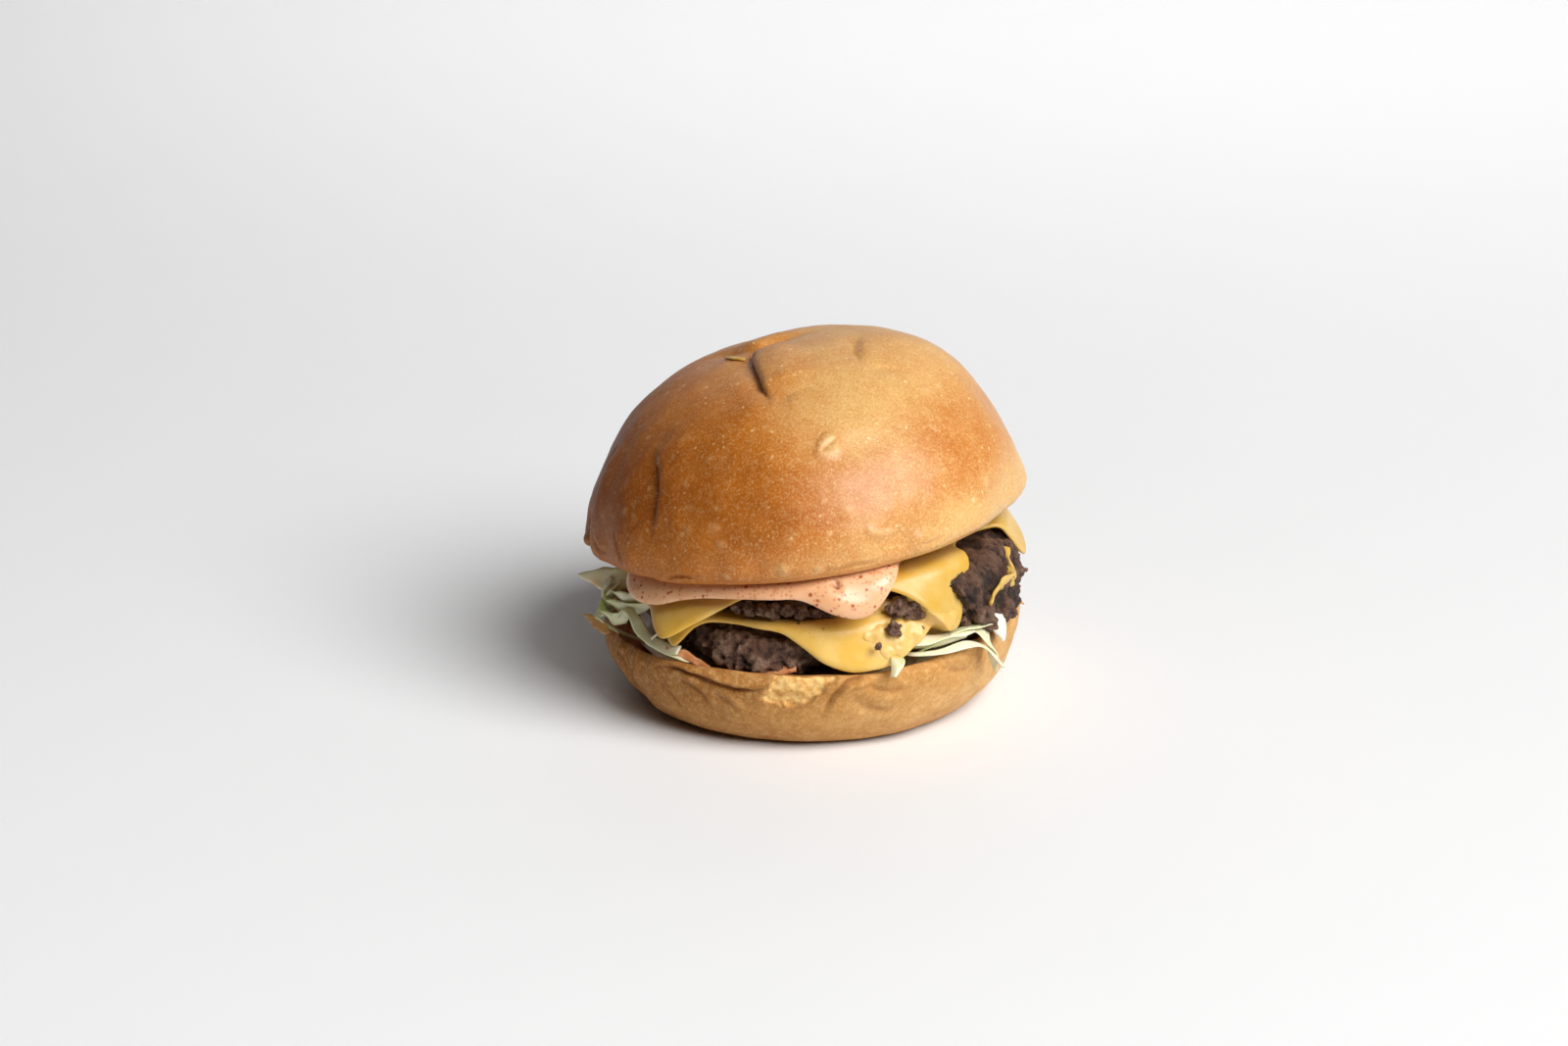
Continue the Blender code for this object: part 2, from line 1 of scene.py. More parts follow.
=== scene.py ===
import math

import bpy
import numpy as np
from mathutils import Matrix, Vector, noise
from mathutils.bvhtree import BVHTree


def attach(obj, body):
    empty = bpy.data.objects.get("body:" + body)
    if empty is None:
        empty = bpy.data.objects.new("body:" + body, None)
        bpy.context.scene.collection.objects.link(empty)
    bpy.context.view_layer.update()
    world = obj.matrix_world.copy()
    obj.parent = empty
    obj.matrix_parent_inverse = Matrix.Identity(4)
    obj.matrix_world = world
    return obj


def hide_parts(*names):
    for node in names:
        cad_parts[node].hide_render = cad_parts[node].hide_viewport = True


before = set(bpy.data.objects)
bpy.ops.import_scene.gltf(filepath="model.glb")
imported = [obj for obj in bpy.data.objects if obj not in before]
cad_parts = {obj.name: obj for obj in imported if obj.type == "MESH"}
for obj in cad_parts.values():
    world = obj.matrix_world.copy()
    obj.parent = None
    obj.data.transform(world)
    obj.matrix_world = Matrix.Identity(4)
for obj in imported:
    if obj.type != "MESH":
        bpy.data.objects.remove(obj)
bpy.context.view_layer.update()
print("frame loaded:", ", ".join(sorted(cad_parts)))

# Shapes are worked out in millimetres, in the frame of the CAD, and scaled when a mesh is made.
toMetres = 0.001
doughSeed = np.array((3.7, 1.9, 8.3))
layerGap = 0.45

# Each boundary between two layers: height at the centre, rise to the right, rise to the back
planes = {
    "heelCut": (15.2, 0.035, -0.010),
    "lettuceTop": (18.2, 0.045, -0.010),
    "lowerPattyTop": (30.9, 0.055, -0.028),
    "lowerCheeseTop": (33.2, 0.055, -0.028),
    "upperPattyTop": (39.2, 0.115, -0.035),
    "upperCheeseTop": (41.5, 0.115, -0.035),
    "crownCut": (45.2, 0.125, -0.048),
}


def levelAt(name, x, y):
    level, toRight, toBack = planes[name]
    return level + toRight * x + toBack * y


def around(values):
    # smooth closed curve through {degrees: value}; the front is -90 and the right is 0
    turns = np.array(sorted(values), float)
    held = np.array([values[turn] for turn in sorted(values)], float)
    gaps = (np.roll(turns, -1) - turns) % 360 + (360 if len(turns) == 1 else 0)
    steps = (np.roll(held, -1) - held) / gaps
    slopes = (np.roll(steps, 1) + steps) / 2
    slopes = np.where(np.roll(steps, 1) * steps < 0, 0.35 * slopes, slopes)

    def value(angle):
        degrees = np.degrees(angle)
        after = np.searchsorted(turns, degrees, side="right") % len(turns)
        before = (after - 1) % len(turns)
        gap = gaps[before]
        share = ((degrees - turns[before]) % 360) / gap
        rise = share * share * (3 - 2 * share)
        bend = gap * (slopes[before] * share * (1 - share) ** 2 - slopes[after] * share**2 * (1 - share))
        return held[before] + (held[after] - held[before]) * rise + bend

    return value


def noiseAt(places):
    return np.array([noise.noise(Vector(place)) for place in places.tolist()])


def smoothField(points, size, shift=0):
    return noiseAt(points / size + doughSeed + shift)


def cellField(points, size, shift=0):
    # how far each point is from the nearest and the second nearest of scattered centres
    places = (points / size + doughSeed + shift).tolist()
    return np.array([noise.voronoi(Vector(place))[0][:2] for place in places]).T


def besidePath(x, y, path):
    # distance from each point to a path, signed so that its left side is positive, and the share along it
    nearest = np.full(len(x), 1e9)
    signed, along = np.zeros(len(x)), np.zeros(len(x))
    for i, (start, end) in enumerate(zip(path, path[1:])):
        runX, runY = end[0] - start[0], end[1] - start[1]
        share = np.clip(((x - start[0]) * runX + (y - start[1]) * runY) / (runX**2 + runY**2), 0, 1)
        awayX, awayY = x - start[0] - share * runX, y - start[1] - share * runY
        far = np.hypot(awayX, awayY)
        closer = far < nearest
        nearest = np.where(closer, far, nearest)
        side = np.where(runX * awayY - runY * awayX < 0, -1, 1)
        signed = np.where(closer, side * far, signed)
        along = np.where(closer, (i + share) / (len(path) - 1), along)
    return signed, along


def bump(distance, width):
    return np.exp(-((distance / width) ** 2))


def awayFrom(points, centre):
    return np.linalg.norm(points - np.array(centre), axis=1)


def turned(radius, angle, z):
    return np.stack([radius * np.cos(angle), radius * np.sin(angle), z], -1)


def between(a, b, c, d, t):
    # a smooth curve from b to c, whose neighbours are a and d
    return 0.5 * (2 * b + (c - a) * t + (2 * a - 5 * b + 4 * c - d) * t**2 + (3 * b - a - 3 * c + d) * t**3)


def smoothRoute(points, steps):
    points = [np.array(point, float) for point in points]
    ends = [2 * points[0] - points[1], *points, 2 * points[-1] - points[-2]]
    route = []
    for i in range(steps + 1):
        place = i / steps * (len(points) - 1)
        first = min(int(place), len(points) - 2)
        route.append(between(*ends[first:first + 4], place - first))
    return np.array(route)


def polarGrid(segments, rings):
    # angles and t of a closed body's points, a pole at each end, with its faces
    turn = np.linspace(-math.pi, math.pi, segments, endpoint=False)
    inner = np.array(rings[1:-1])
    angle = np.concatenate(([0], np.tile(turn, len(inner)), [0]))
    t = np.concatenate(([rings[0]], np.repeat(inner, segments), [rings[-1]]))
    first = 1 + np.arange(len(inner))[:, None] * segments
    here, after = np.arange(segments), (np.arange(segments) + 1) % segments
    quads = np.stack([first[:-1] + here, first[1:] + here, first[1:] + after, first[:-1] + after], -1)
    faces = quads.reshape(-1, 4).tolist()
    last = len(t) - 1
    faces += [(0, 1 + a, 1 + b) for a, b in zip(here, after)]
    faces += [(last, first[-1][0] + b, first[-1][0] + a) for a, b in zip(here, after)]
    return angle, t, faces


def normalsOf(points, faces):
    quads = np.array([face for face in faces if len(face) == 4])
    a, b, c, d = (points[quads[:, i]] for i in range(4))
    across = np.cross(c - a, d - b)
    total = np.zeros_like(points)
    for axis in range(3):
        for corner in range(4):
            total[:, axis] += np.bincount(quads[:, corner], across[:, axis], len(points))
    return total / np.maximum(np.linalg.norm(total, axis=1, keepdims=True), 1e-9)


def joined(parts):
    # one mesh's points and faces out of several
    faces, count = [], 0
    for points, itsFaces in parts:
        faces += [tuple(int(i) + count for i in face) for face in itsFaces]
        count += len(points)
    return np.concatenate([points for points, itsFaces in parts]), faces


def surfaceOf(piece):
    # in millimetres, for rays cast onto it
    mesh = piece.data
    return BVHTree.FromPolygons([vertex.co * 1000 for vertex in mesh.vertices],
                                [list(face.vertices) for face in mesh.polygons])


def addPiece(name, points, faces, finish, slotName, *nodes, attributes=None):
    mesh = bpy.data.meshes.new(name)
    mesh.from_pydata((points * toMetres).tolist(), [], faces)
    mesh.update()
    mesh.shade_smooth()
    mesh.materials.append(finish)
    for layerName, values in (attributes or {}).items():
        layer = mesh.attributes.new(layerName, "FLOAT", "POINT")
        layer.data.foreach_set("value", np.asarray(values, np.float32))
    piece = bpy.data.objects.new(name, mesh)
    bpy.context.scene.collection.objects.link(piece)
    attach(piece, "root")
    if nodes:
        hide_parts(*nodes)
    print(f"{name}: {len(points)} points, {len(faces)} faces")
    return piece


class Wire:
    # one output socket; arithmetic on it adds Math nodes

    def __init__(self, finish, socket):
        self.finish = finish
        self.socket = socket

    def maths(self, operation, *values, clamp=False):
        settings = {"operation": operation, "use_clamp": clamp}
        return self.finish.node("ShaderNodeMath", settings, dict(enumerate(values)))

    def __add__(self, other):
        return self.maths("ADD", self, other)

    def __sub__(self, other):
        return self.maths("SUBTRACT", self, other)

    def __rsub__(self, other):
        return self.maths("SUBTRACT", other, self)

    def __mul__(self, other):
        return self.maths("MULTIPLY", self, other)

    __radd__ = __add__
    __rmul__ = __mul__

    def clipped(self):
        return self.maths("ADD", self, 0, clamp=True)


class Finish:
    # a material with one Principled shader, the colours of its look, and short ways to add nodes to it

    def __init__(self, name, look, **constants):
        self.look = look
        self.material = bpy.data.materials.new(name)
        self.material.use_nodes = True
        self.nodes = self.material.node_tree.nodes
        self.links = self.material.node_tree.links
        self.shader = self.nodes["Principled BSDF"]
        for socketName, value in constants.items():
            self.shader.inputs[socketName.replace("_", " ")].default_value = value
        self.place = self.node("ShaderNodeTexCoord", out="Object")

    def node(self, kind, settings=None, values=None, out=0):
        made = self.nodes.new(kind)
        for key, value in (settings or {}).items():
            setattr(made, key, value)
        for key, value in (values or {}).items():
            if isinstance(value, Wire):
                self.links.new(value.socket, made.inputs[key])
            else:
                made.inputs[key].default_value = value
        return Wire(self, made.outputs[out])

    def cloud(self, size, detail=3, rough=0.55, stretch=None, twist=0):
        # noise from 0 to 1 whose blobs are about size millimetres across
        where = self.place
        if stretch:
            where = self.node("ShaderNodeVectorMath", {"operation": "MULTIPLY"}, {0: where, 1: stretch})
        return self.node("ShaderNodeTexNoise", {}, {"Vector": where, "Scale": 1000 / size, "Detail": detail,
                                                    "Roughness": rough, "Distortion": twist})

    def dots(self, size, share, largest, soft):
        # round dots: the size of their cells in millimetres, the share of cells with one, its largest radius
        settings = {"feature": "F1", "distance": "EUCLIDEAN"}
        values = {"Vector": self.place, "Scale": 1000 / size}
        distance = self.node("ShaderNodeTexVoronoi", settings, values, out="Distance")
        chance = self.node("ShaderNodeTexVoronoi", settings, values, out="Color")
        chance = self.node("ShaderNodeSeparateColor", {}, {0: chance}, out=0)
        radius = (chance - (1 - share)) * (largest / share)
        return ((radius - distance) * soft).clipped()

    def mapped(self, value, low, high, start=0, end=1):
        values = {"Value": value, "From Min": low, "From Max": high, "To Min": start, "To Max": end}
        return self.node("ShaderNodeMapRange", {"clamp": True, "interpolation_type": "SMOOTHSTEP"}, values)

    def blend(self, factor, first, second):
        values = {0: factor, 6: self.colour(first), 7: self.colour(second)}
        return self.node("ShaderNodeMix", {"data_type": "RGBA"}, values, out=2)

    def colour(self, value):
        value = self.look.get(value, value) if isinstance(value, str) else value
        return value if isinstance(value, Wire) else (*value, 1)

    def layered(self, colour, *layers):
        # each layer: how much of it, its colour
        for amount, over in layers:
            colour = self.blend(amount, colour, over)
        return colour

    def attribute(self, name):
        return self.node("ShaderNodeAttribute", {"attribute_name": name}, out="Fac")

    def finish(self, colour, roughness, relief, depth):
        # relief is a height from about 0 to 1, and depth what 1 stands for in millimetres
        self.links.new(colour.socket, self.shader.inputs["Base Color"])
        self.links.new(roughness.socket, self.shader.inputs["Roughness"])
        values = {"Height": relief, "Strength": 1, "Distance": depth * toMetres}
        raised = self.node("ShaderNodeBump", {}, values)
        self.links.new(raised.socket, self.shader.inputs["Normal"])
        return self.material


crownCrustLook = {
    "deep": (0.25, 0.058, 0.003), "middle": (0.50, 0.150, 0.010), "light": (0.68, 0.390, 0.125),
    "speck": (0.95, 0.70, 0.34), "creaseShade": (0.42, 0.125, 0.016),
}
bread = {"Subsurface_Weight": 0.06, "Subsurface_Radius": (0.6, 0.25, 0.1), "Subsurface_Scale": 0.004}


def makeCrownCrust():
    crust = Finish("crownCrust", crownCrustLook, Specular_IOR_Level=0.22, Coat_Roughness=0.44, **bread)
    bakeAndPaintedLight, slow, patch = crust.attribute("bakeAndPaintedLight"), crust.cloud(26, 2), crust.cloud(7, 4, 0.6)
    grain, mottle = crust.cloud(0.55, 2, 0.7), crust.cloud(1.9, 3, 0.6)
    # the tone carries painted shade on the left side and a painted highlight and sheen at the front and top
    tone = bakeAndPaintedLight * 0.72 + slow * 0.42 + patch * 0.34 - 0.38
    fine, small = crust.dots(1, 0.6, 0.42, 6), crust.dots(2.3, 0.6, 0.26, 8)
    specks = (fine * 0.40 + small * 0.8 + crust.dots(4.4, 0.45, 0.22, 9) * 0.7).clipped()
    # the dark colour in the folds, the rim cracks and under the burst blister is painted shade
    colour = crust.layered(
        crust.blend(crust.mapped(tone, 0, 0.55), "deep", "middle"),
        (crust.mapped(tone, 0.38, 0.90), "light"),
        (specks * (0.12 + bakeAndPaintedLight * 0.62), "speck"),
        (crust.mapped(grain, 0.45, 0.75) * (0.08 + bakeAndPaintedLight * 0.26), "speck"),
        (crust.mapped(grain, 0.5, 0.25) * 0.30, "deep"),
        (crust.attribute("pale") * 0.24, "speck"),
        (crust.attribute("creaseShade") * 0.55, "creaseShade"),
        (crust.mapped(mottle, 0.5, 0.75) * 0.11, "speck"))
    roughness = grain * 0.14 + patch * 0.10 + 0.34
    relief = grain * 0.45 + specks * 0.5 + crust.cloud(1.6, 3) * 0.6
    # the golden parts are shinier than the brown ones
    shine = crust.mapped(bakeAndPaintedLight, 0.38, 0.85, 0, 0.62) * (1.2 - grain * 0.4)
    crust.links.new(shine.socket, crust.shader.inputs["Coat Weight"])
    return crust.finish(colour, roughness, relief, 0.11)


heelCrustLook = {
    "deep": (0.29, 0.105, 0.020), "middle": (0.52, 0.255, 0.072), "light": (0.80, 0.515, 0.235),
    "crumb": (0.84, 0.55, 0.21), "crumbPore": (0.60, 0.30, 0.085), "inside": (0.46, 0.15, 0.035),
    "creaseShade": (0.22, 0.06, 0.014),
}


def makeHeelCrust():
    crust = Finish("heelCrust", heelCrustLook, Specular_IOR_Level=0.12, **bread)
    slow, patch = crust.cloud(18, 2), crust.cloud(5, 4, 0.6)
    grain, mottle = crust.cloud(0.5, 2, 0.7), crust.cloud(1.7, 3, 0.6)
    # the tone carries painted shade on the left side of the heel
    tone = crust.attribute("bakeAndPaintedLight") * 0.7 + slow * 0.40 + patch * 0.40 - 0.40
    torn = crust.attribute("torn")
    specks = (crust.dots(0.9, 0.5, 0.34, 5) * 0.4 + crust.dots(3.2, 0.3, 0.22, 7) * 0.6).clipped()
    crumb = crust.blend(crust.mapped(crust.cloud(2.2, 4, 0.7), 0.35, 0.65), "crumbPore", "crumb")
    # the cut face inside the lip is dark red-brown: partly its toasted, sauce-stained colour and partly
    # painted shade in the recess under the fillings
    colour = crust.layered(
        crust.blend(crust.mapped(tone, 0, 0.5), "deep", "middle"),
        (crust.mapped(tone, 0.42, 0.95), "light"),
        (specks * 0.5, "light"),
        (crust.mapped(mottle, 0.45, 0.75) * 0.34, "light"),
        (crust.mapped(mottle, 0.5, 0.25) * 0.30, "deep"),
        (crust.mapped(grain, 0.45, 0.75) * 0.28, "crumb"),
        (crust.mapped(grain, 0.5, 0.25) * 0.24, "deep"),
        (crust.attribute("inside") * 0.85, "inside"),
        (torn, crumb),
        (crust.attribute("creaseShade") * 0.8, "creaseShade"))
    relief = grain * 0.5 + specks * 0.3 + crust.cloud(1.4, 3) * 0.6
    return crust.finish(colour, grain * 0.15 + torn * 0.25 + 0.5, relief, 0.12)


# the darkest colour is painted shade for the crevices between lumps
beefLook = {
    "creviceShade": (0.020, 0.008, 0.004), "brown": (0.110, 0.048, 0.025), "grey": (0.235, 0.138, 0.086),
    "tip": (0.44, 0.31, 0.21), "warm": (0.12, 0.036, 0.016),
}


def makeBeef(name, warm, paintedLift=0):
    # warm: how strong the warmer patches are; the last argument: what is added to the tone, painted light
    # that makes a paler, lit copy of the beef
    beef = Finish(name, beefLook, Specular_IOR_Level=0.45, Subsurface_Weight=0)
    lump, grain, fine = beef.cloud(4.2, 4, 0.6), beef.cloud(1.3, 5, 0.75), beef.dots(0.9, 0.7, 0.55, 3)
    # the hollows between the lumps turn near-black: painted shade in the crevices
    tone = beef.attribute("shadeByProudness") * 0.8 + lump * 0.4 + grain * 1.5 + (paintedLift - 0.97)
    # the pale dots on the proud grains are painted glints
    colour = beef.layered(
        beef.blend(beef.mapped(tone, 0, 0.40), "creviceShade", "brown"),
        (beef.mapped(tone, 0.34, 0.95), "grey"),
        (fine * beef.mapped(tone, 0.2, 0.7) * 0.45, "tip"),
        (beef.mapped(beef.cloud(9, 2), 0.5, 0.75) * warm, "warm"))
    relief = grain * 1.6 + fine * 0.5 + beef.cloud(0.4, 2) * 0.3
    return beef.finish(colour, beef.mapped(grain, 0.3, 0.7, 0.34, 0.66), relief, 0.55)


cheeseLook = {
    "body": (0.72, 0.425, 0.060), "pale": (0.78, 0.52, 0.15), "deep": (0.68, 0.32, 0.03),
    "mixed": (0.68, 0.41, 0.165), "fat": (0.36, 0.16, 0.05), "fleck": (0.10, 0.04, 0.02),
}


def makeCheese(name, mixed=0, paintedShade=1):
    # mixed: how much sauce and fat have run into the cheese; the last argument: what its colours are
    # multiplied by, a painted shade that makes a darker copy of the cheese
    cheese = Finish(name, cheeseLook, Subsurface_Weight=0.18, Subsurface_Radius=(1, 0.55, 0.15),
                    Subsurface_Scale=0.002, Specular_IOR_Level=0.4, Coat_Weight=0.16, Coat_Roughness=0.16)
    slow, fine, streak = cheese.cloud(9, 3), cheese.cloud(1.1, 3), cheese.cloud(3, 4, 0.6, twist=1.2)
    smear = (cheese.attribute("smear") + mixed).clipped()
    body, pale = (tuple(paintedShade * part for part in cheeseLook[key]) for key in ("body", "pale"))
    colour = cheese.layered(
        cheese.blend(cheese.mapped(slow, 0.35, 0.7), body, pale),
        (cheese.mapped(fine, 0.45, 0.8) * 0.18, "deep"),
        (smear * cheese.mapped(streak, 0.3, 0.55, 0.35, 0.95), "mixed"),
        (smear * cheese.mapped(cheese.cloud(1.6, 3), 0.55, 0.75) * 0.5, "fat"),
        (cheese.dots(4.2, 0.14, 0.09, 14), "fleck"))
    relief = fine * 0.5 + cheese.cloud(0.45, 2) * 0.35 + smear * streak * 1.5
    return cheese.finish(colour, fine * 0.2 + 0.30, relief, 0.08)


sauceLook = {
    "body": (0.76, 0.40, 0.20), "pale": (0.81, 0.475, 0.265), "spice": (0.56, 0.19, 0.07),
    "redSpice": (0.40, 0.06, 0.02), "soaked": (0.50, 0.17, 0.05), "pitShade": (0.27, 0.07, 0.03),
}


def makeSauce(name="pinkSauce", soaked=0):
    # soaked: how far it has run into the bread
    sauce = Finish(name, sauceLook, Subsurface_Weight=0.10, Subsurface_Radius=(1, 0.5, 0.3),
                   Subsurface_Scale=0.001, Specular_IOR_Level=0.45, Coat_Weight=0.2, Coat_Roughness=0.25)
    fine = sauce.cloud(0.6, 2)
    # the dark colour in the hole where a bubble burst is painted shade
    colour = sauce.layered(
        sauce.blend(sauce.mapped(sauce.cloud(7, 3), 0.35, 0.7), "body", "pale"),
        (sauce.dots(0.95, 0.8, 0.62, 7) * 0.6, "spice"),
        (sauce.dots(1.7, 0.6, 0.42, 9) * 0.9, "redSpice"),
        (sauce.mapped(sauce.cloud(3, 3), 0.3, 0.6) * soaked, "soaked"),
        (sauce.attribute("pitShade") * 0.85, "pitShade"))
    return sauce.finish(colour, fine * 0.12 + 0.24, fine * 0.3 + sauce.cloud(2.5, 2) * 0.8, 0.06)


leafLook = {"white": (0.78, 0.74, 0.52), "green": (0.52, 0.58, 0.20), "vein": (0.86, 0.84, 0.62),
            "stain": (0.62, 0.27, 0.09)}


def makeLeaf():
    leaf = Finish("lettuceLeaf", leafLook, Subsurface_Weight=0.30, Subsurface_Radius=(0.7, 1, 0.4),
                  Subsurface_Scale=0.002, Specular_IOR_Level=0.5, Coat_Weight=0.2, Coat_Roughness=0.2)
    vein = leaf.cloud(1, 3, 0.6, stretch=(0.5, 1, 1.6), twist=0.6)
    tone = (leaf.attribute("green") * 0.85 + leaf.cloud(5, 3) * 0.5 - 0.3).clipped()
    colour = leaf.layered(
        leaf.blend(tone, "white", "green"),
        (leaf.mapped(vein, 0.5, 0.75) * 0.45, "vein"),
        (leaf.attribute("stain") * 0.8, "stain"))
    return leaf.finish(colour, vein * 0.2 + 0.28, vein * 0.7 + leaf.cloud(0.4, 2) * 0.3, 0.14)


onionLook = {"body": (0.74, 0.72, 0.62), "pale": (0.82, 0.80, 0.72)}


def makeOnion():
    onion = Finish("onionFlesh", onionLook, Subsurface_Weight=0.35, Subsurface_Radius=(1, 0.9, 0.7),
                   Subsurface_Scale=0.003, Specular_IOR_Level=0.55, Coat_Weight=0.3, Coat_Roughness=0.15)
    line = onion.cloud(0.9, 2, 0.5, stretch=(1.5, 1.5, 0.3))
    colour = onion.blend(onion.mapped(line, 0.35, 0.7), "body", "pale")
    return onion.finish(colour, line * 0.1 + 0.24, line, 0.05)


crownCrust, heelCrust = makeCrownCrust(), makeHeelCrust()
# the lower patty's tone is lifted: painted light, a paler lit copy of the beef
lowerBeefFinish, upperBeefFinish = makeBeef("beefLower", 0.5, 0.22), makeBeef("beefUpper", 0.35)
# the upper slice's colours are multiplied down: painted shade
lowerCheeseFinish, upperCheeseFinish = makeCheese("cheeseLower"), makeCheese("cheeseUpper", paintedShade=0.82)
meltedFinish = makeCheese("cheeseMelted", mixed=0.40)
sauceFinish, leafFinish, onionFinish = makeSauce(), makeLeaf(), makeOnion()
thinSauceFinish = makeSauce("thinSauce", soaked=0.85)
print("finishes made")

crown = {
    "radius": 54.8, "height": 42.5, "lean": 3, "lip": 3.6, "offset": -1.5, "grid": 272, "domeShare": 0.86,
    "outline": {-180: 0.992, -145: 1, -90: 1.004, -40: 0.99, -5: 1.008, 40: 0.985, 100: 1, 150: 0.985},
}
# Folds of the crust. The path is seen from above and its left side swells to a lip that leans over the crack.
# After it: depth, width of the crack, width of the valley, height of the swell, its width, lean, darkness of
# the painted shade in the crack
crownFolds = [
    ([(-4, 2.8), (-8.8, -1), (-10.2, -3.5), (-10.8, -6.4), (-10.5, -10.4), (-9.5, -16), (-8.5, -21.3),
     (-7.9, -25.4), (-7, -28.4), (-6.4, -30.6)], 2.1, 1, 3, 1.3, 6.5, 1.1, 0.7),
    ([(-8.6, -26.4), (-4.4, -28.6), (0.4, -30.2)], 0.6, 1.4, 2.6, 0, 3, 0, 0.2),
    ([(-27, 12), (-20, 8.5), (-14, 3), (-10, 0.5), (-5, 3.4), (2.3, 4.6),
     (10, 6)], 1.5, 2.2, 3.2, 0.3, 4, 0.2, 0.1),
    ([(15.8, -3), (15, -9), (15, -14.4), (16, -19.6)], 0.6, 0.9, 2.8, 0.35, 3.5, 0.3, 0.2),
    ([(15.4, -18.6), (19.4, -19.6), (23.4, -18.6), (28, -17.8)], 0.45, 1, 2.4, 0, 3, 0, 0.1),
    ([(-36.6, -24.5), (-35.6, -28.9), (-34.8, -33), (-35, -36.4), (-36, -38.2),
     (-37.2, -39.6)], 1.5, 1.2, 4.4, 0.7, 5, 0.5, 0.3),
    ([(-45, -8), (-49, -11.9), (-51.6, -14.6), (-54.5, -17)], 2.6, 0.9, 4.6, 0.8, 3.4, 0.6, 0.35),
    ([(-46, -15.5), (-40, -13), (-33, -9.5)], 0.35, 3, 3.6, 0, 3, 0, 0),
    ([(12, 31), (15, 24), (22, 20)], 1.4, 0.9, 3.2, 0.8, 4, 0.5, 0.6),
    ([(40, 26), (45, 31), (47, 35)], 1.6, 1, 3.2, 0.6, 4, 0.4, 0.6),
    ([(-30, 32), (-35, 38), (-38, 42)], 1.8, 1, 3.4, 0.6, 4, 0.4, 0.6),
]
# Small cracks and wrinkles along the lower rim: (degrees, height), depth, width
rimCracks = [
    ([(-129, -2.2), (-126.8, -1.8), (-124.3, -1.1), (-121.4, -1), (-117.5, -1.8)], 0.8, 0.6),
    ([(-147.5, 7.5), (-145.5, 4.2), (-144, 1.5), (-143, -0.5)], 0.5, 0.8),
    ([(-84, -2), (-78, -1.2), (-71, -1.4)], 0.35, 0.6),
    ([(-62, 0.8), (-56, -0.3), (-51, 0.4)], 0.4, 0.7),
    ([(-160, 3), (-156, 0.5), (-151, 0.8)], 0.5, 0.8),
    ([(60, 0.5), (68, -1), (75, -0.4)], 0.5, 0.8),
    ([(128, -0.5), (136, -1.4), (143, -0.6)], 0.5, 0.8),
]
# Broad bumps and hollows: centre, size, height
crownSwells = [
    ((31, 0, 36), 17, 2.4), ((50, 0, 18), 13, -1.8), ((-22, -16, 37), 14, -0.9), ((-22, 4, 39), 13, -0.9),
    ((-55, -8, 1), 10, 0.9), ((-53, 2, 18), 11, -0.8), ((-42, -33, 7), 8, 0.7), ((25.6, -46, 4), 6, -0.9),
    ((22.5, -49.5, 1.8), 3.6, -1), ((27.5, -46.6, 0.6), 2.2, 0.6), ((54.5, -3, -0.5), 5, 0.9),
    ((50.8, -19, -1.5), 7, -0.9), ((-54.4, -8.5, -1.4), 2.4, 1.7), ((-54.6, -8.5, 3.6), 3, -1.5),
    ((-50.5, -20, 1), 5, 0.8), ((-42, -34, -2), 4, 0.6),
]
# Small blisters in the crust: centre, radius, height, how pale
crownBlisters = [
    ((-19.3, -50.5, 7.1), 1.3, 0.3, 0.5), ((-21.2, -48.6, 10.7), 1.6, 0.25, 0.4),
    ((-4.9, -54.6, 0.3), 1.7, 0.4, 0.7), ((3.4, -54.7, -0.5), 1.5, 0.4, 0.7),
    ((36.9, -40.5, -0.8), 1, 0.3, 0.9), ((44.9, -29.5, 8.5), 1.7, 0.35, 0.8),
    ((-21.6, -38.7, 25), 0.8, 0.25, 0.9), ((10.6, -51.5, 12), 1.6, 0.25, 0.6),
    ((-18.6, -51.5, -0.7), 0.9, 0.25, 0.8), ((-42.7, -30.7, 12), 1.2, 0.25, 0.4),
    ((33.9, -18.2, 30.2), 1, 0.25, 0.9), ((31.2, -22.2, 30.4), 1.5, 0.25, 0.7),
    ((33, -30.9, 24), 1, 0.25, 0.9), ((34.8, -37.6, 15.1), 0.9, 0.25, 0.8),
    ((5.1, -51.1, 14.8), 0.9, 0.25, 0.7), ((-27.2, -45.7, 10.3), 1.1, 0.25, 0.4),
    ((24.7, -17.5, 33), 1.6, 0.3, 0.8), ((-30, 44, 8), 1.5, 0.35, 0.7), ((18, 49, 14), 1.3, 0.3, 0.8),
    ((48, 22, 6), 1.6, 0.35, 0.7), ((-50, 20, 9), 1.4, 0.3, 0.6), ((2, 38, 28), 1.2, 0.3, 0.8),
]


def squareDisc(count):
    # an even grid bent into a disc: it has no pole that could show on the crust
    line = np.linspace(-1, 1, count + 1)
    x, y = (side.ravel() for side in np.meshgrid(line, line))
    wide = np.abs(x) > np.abs(y)
    reach = np.where(wide, x, y)
    turn = np.where(wide, math.pi / 4 * y / np.where(wide, x, 1),
                    math.pi / 2 - math.pi / 4 * x / np.where(wide | (y == 0), 1, y))
    corner = np.arange(count * (count + 1)).reshape(count, count + 1)[:, :-1].ravel()
    faces = np.stack([corner, corner + 1, corner + count + 2, corner + count + 1], -1).tolist()
    rows = np.arange(count + 1) * (count + 1)
    last = rows[-1]
    edge = [*range(count + 1), *(rows[1:] + count), *range(last + count - 1, last - 1, -1), *rows[-2:0:-1]]
    discX, discY = reach * np.cos(turn), reach * np.sin(turn)
    return np.arctan2(discY, discX), np.hypot(discX, discY), faces, [int(i) for i in edge]


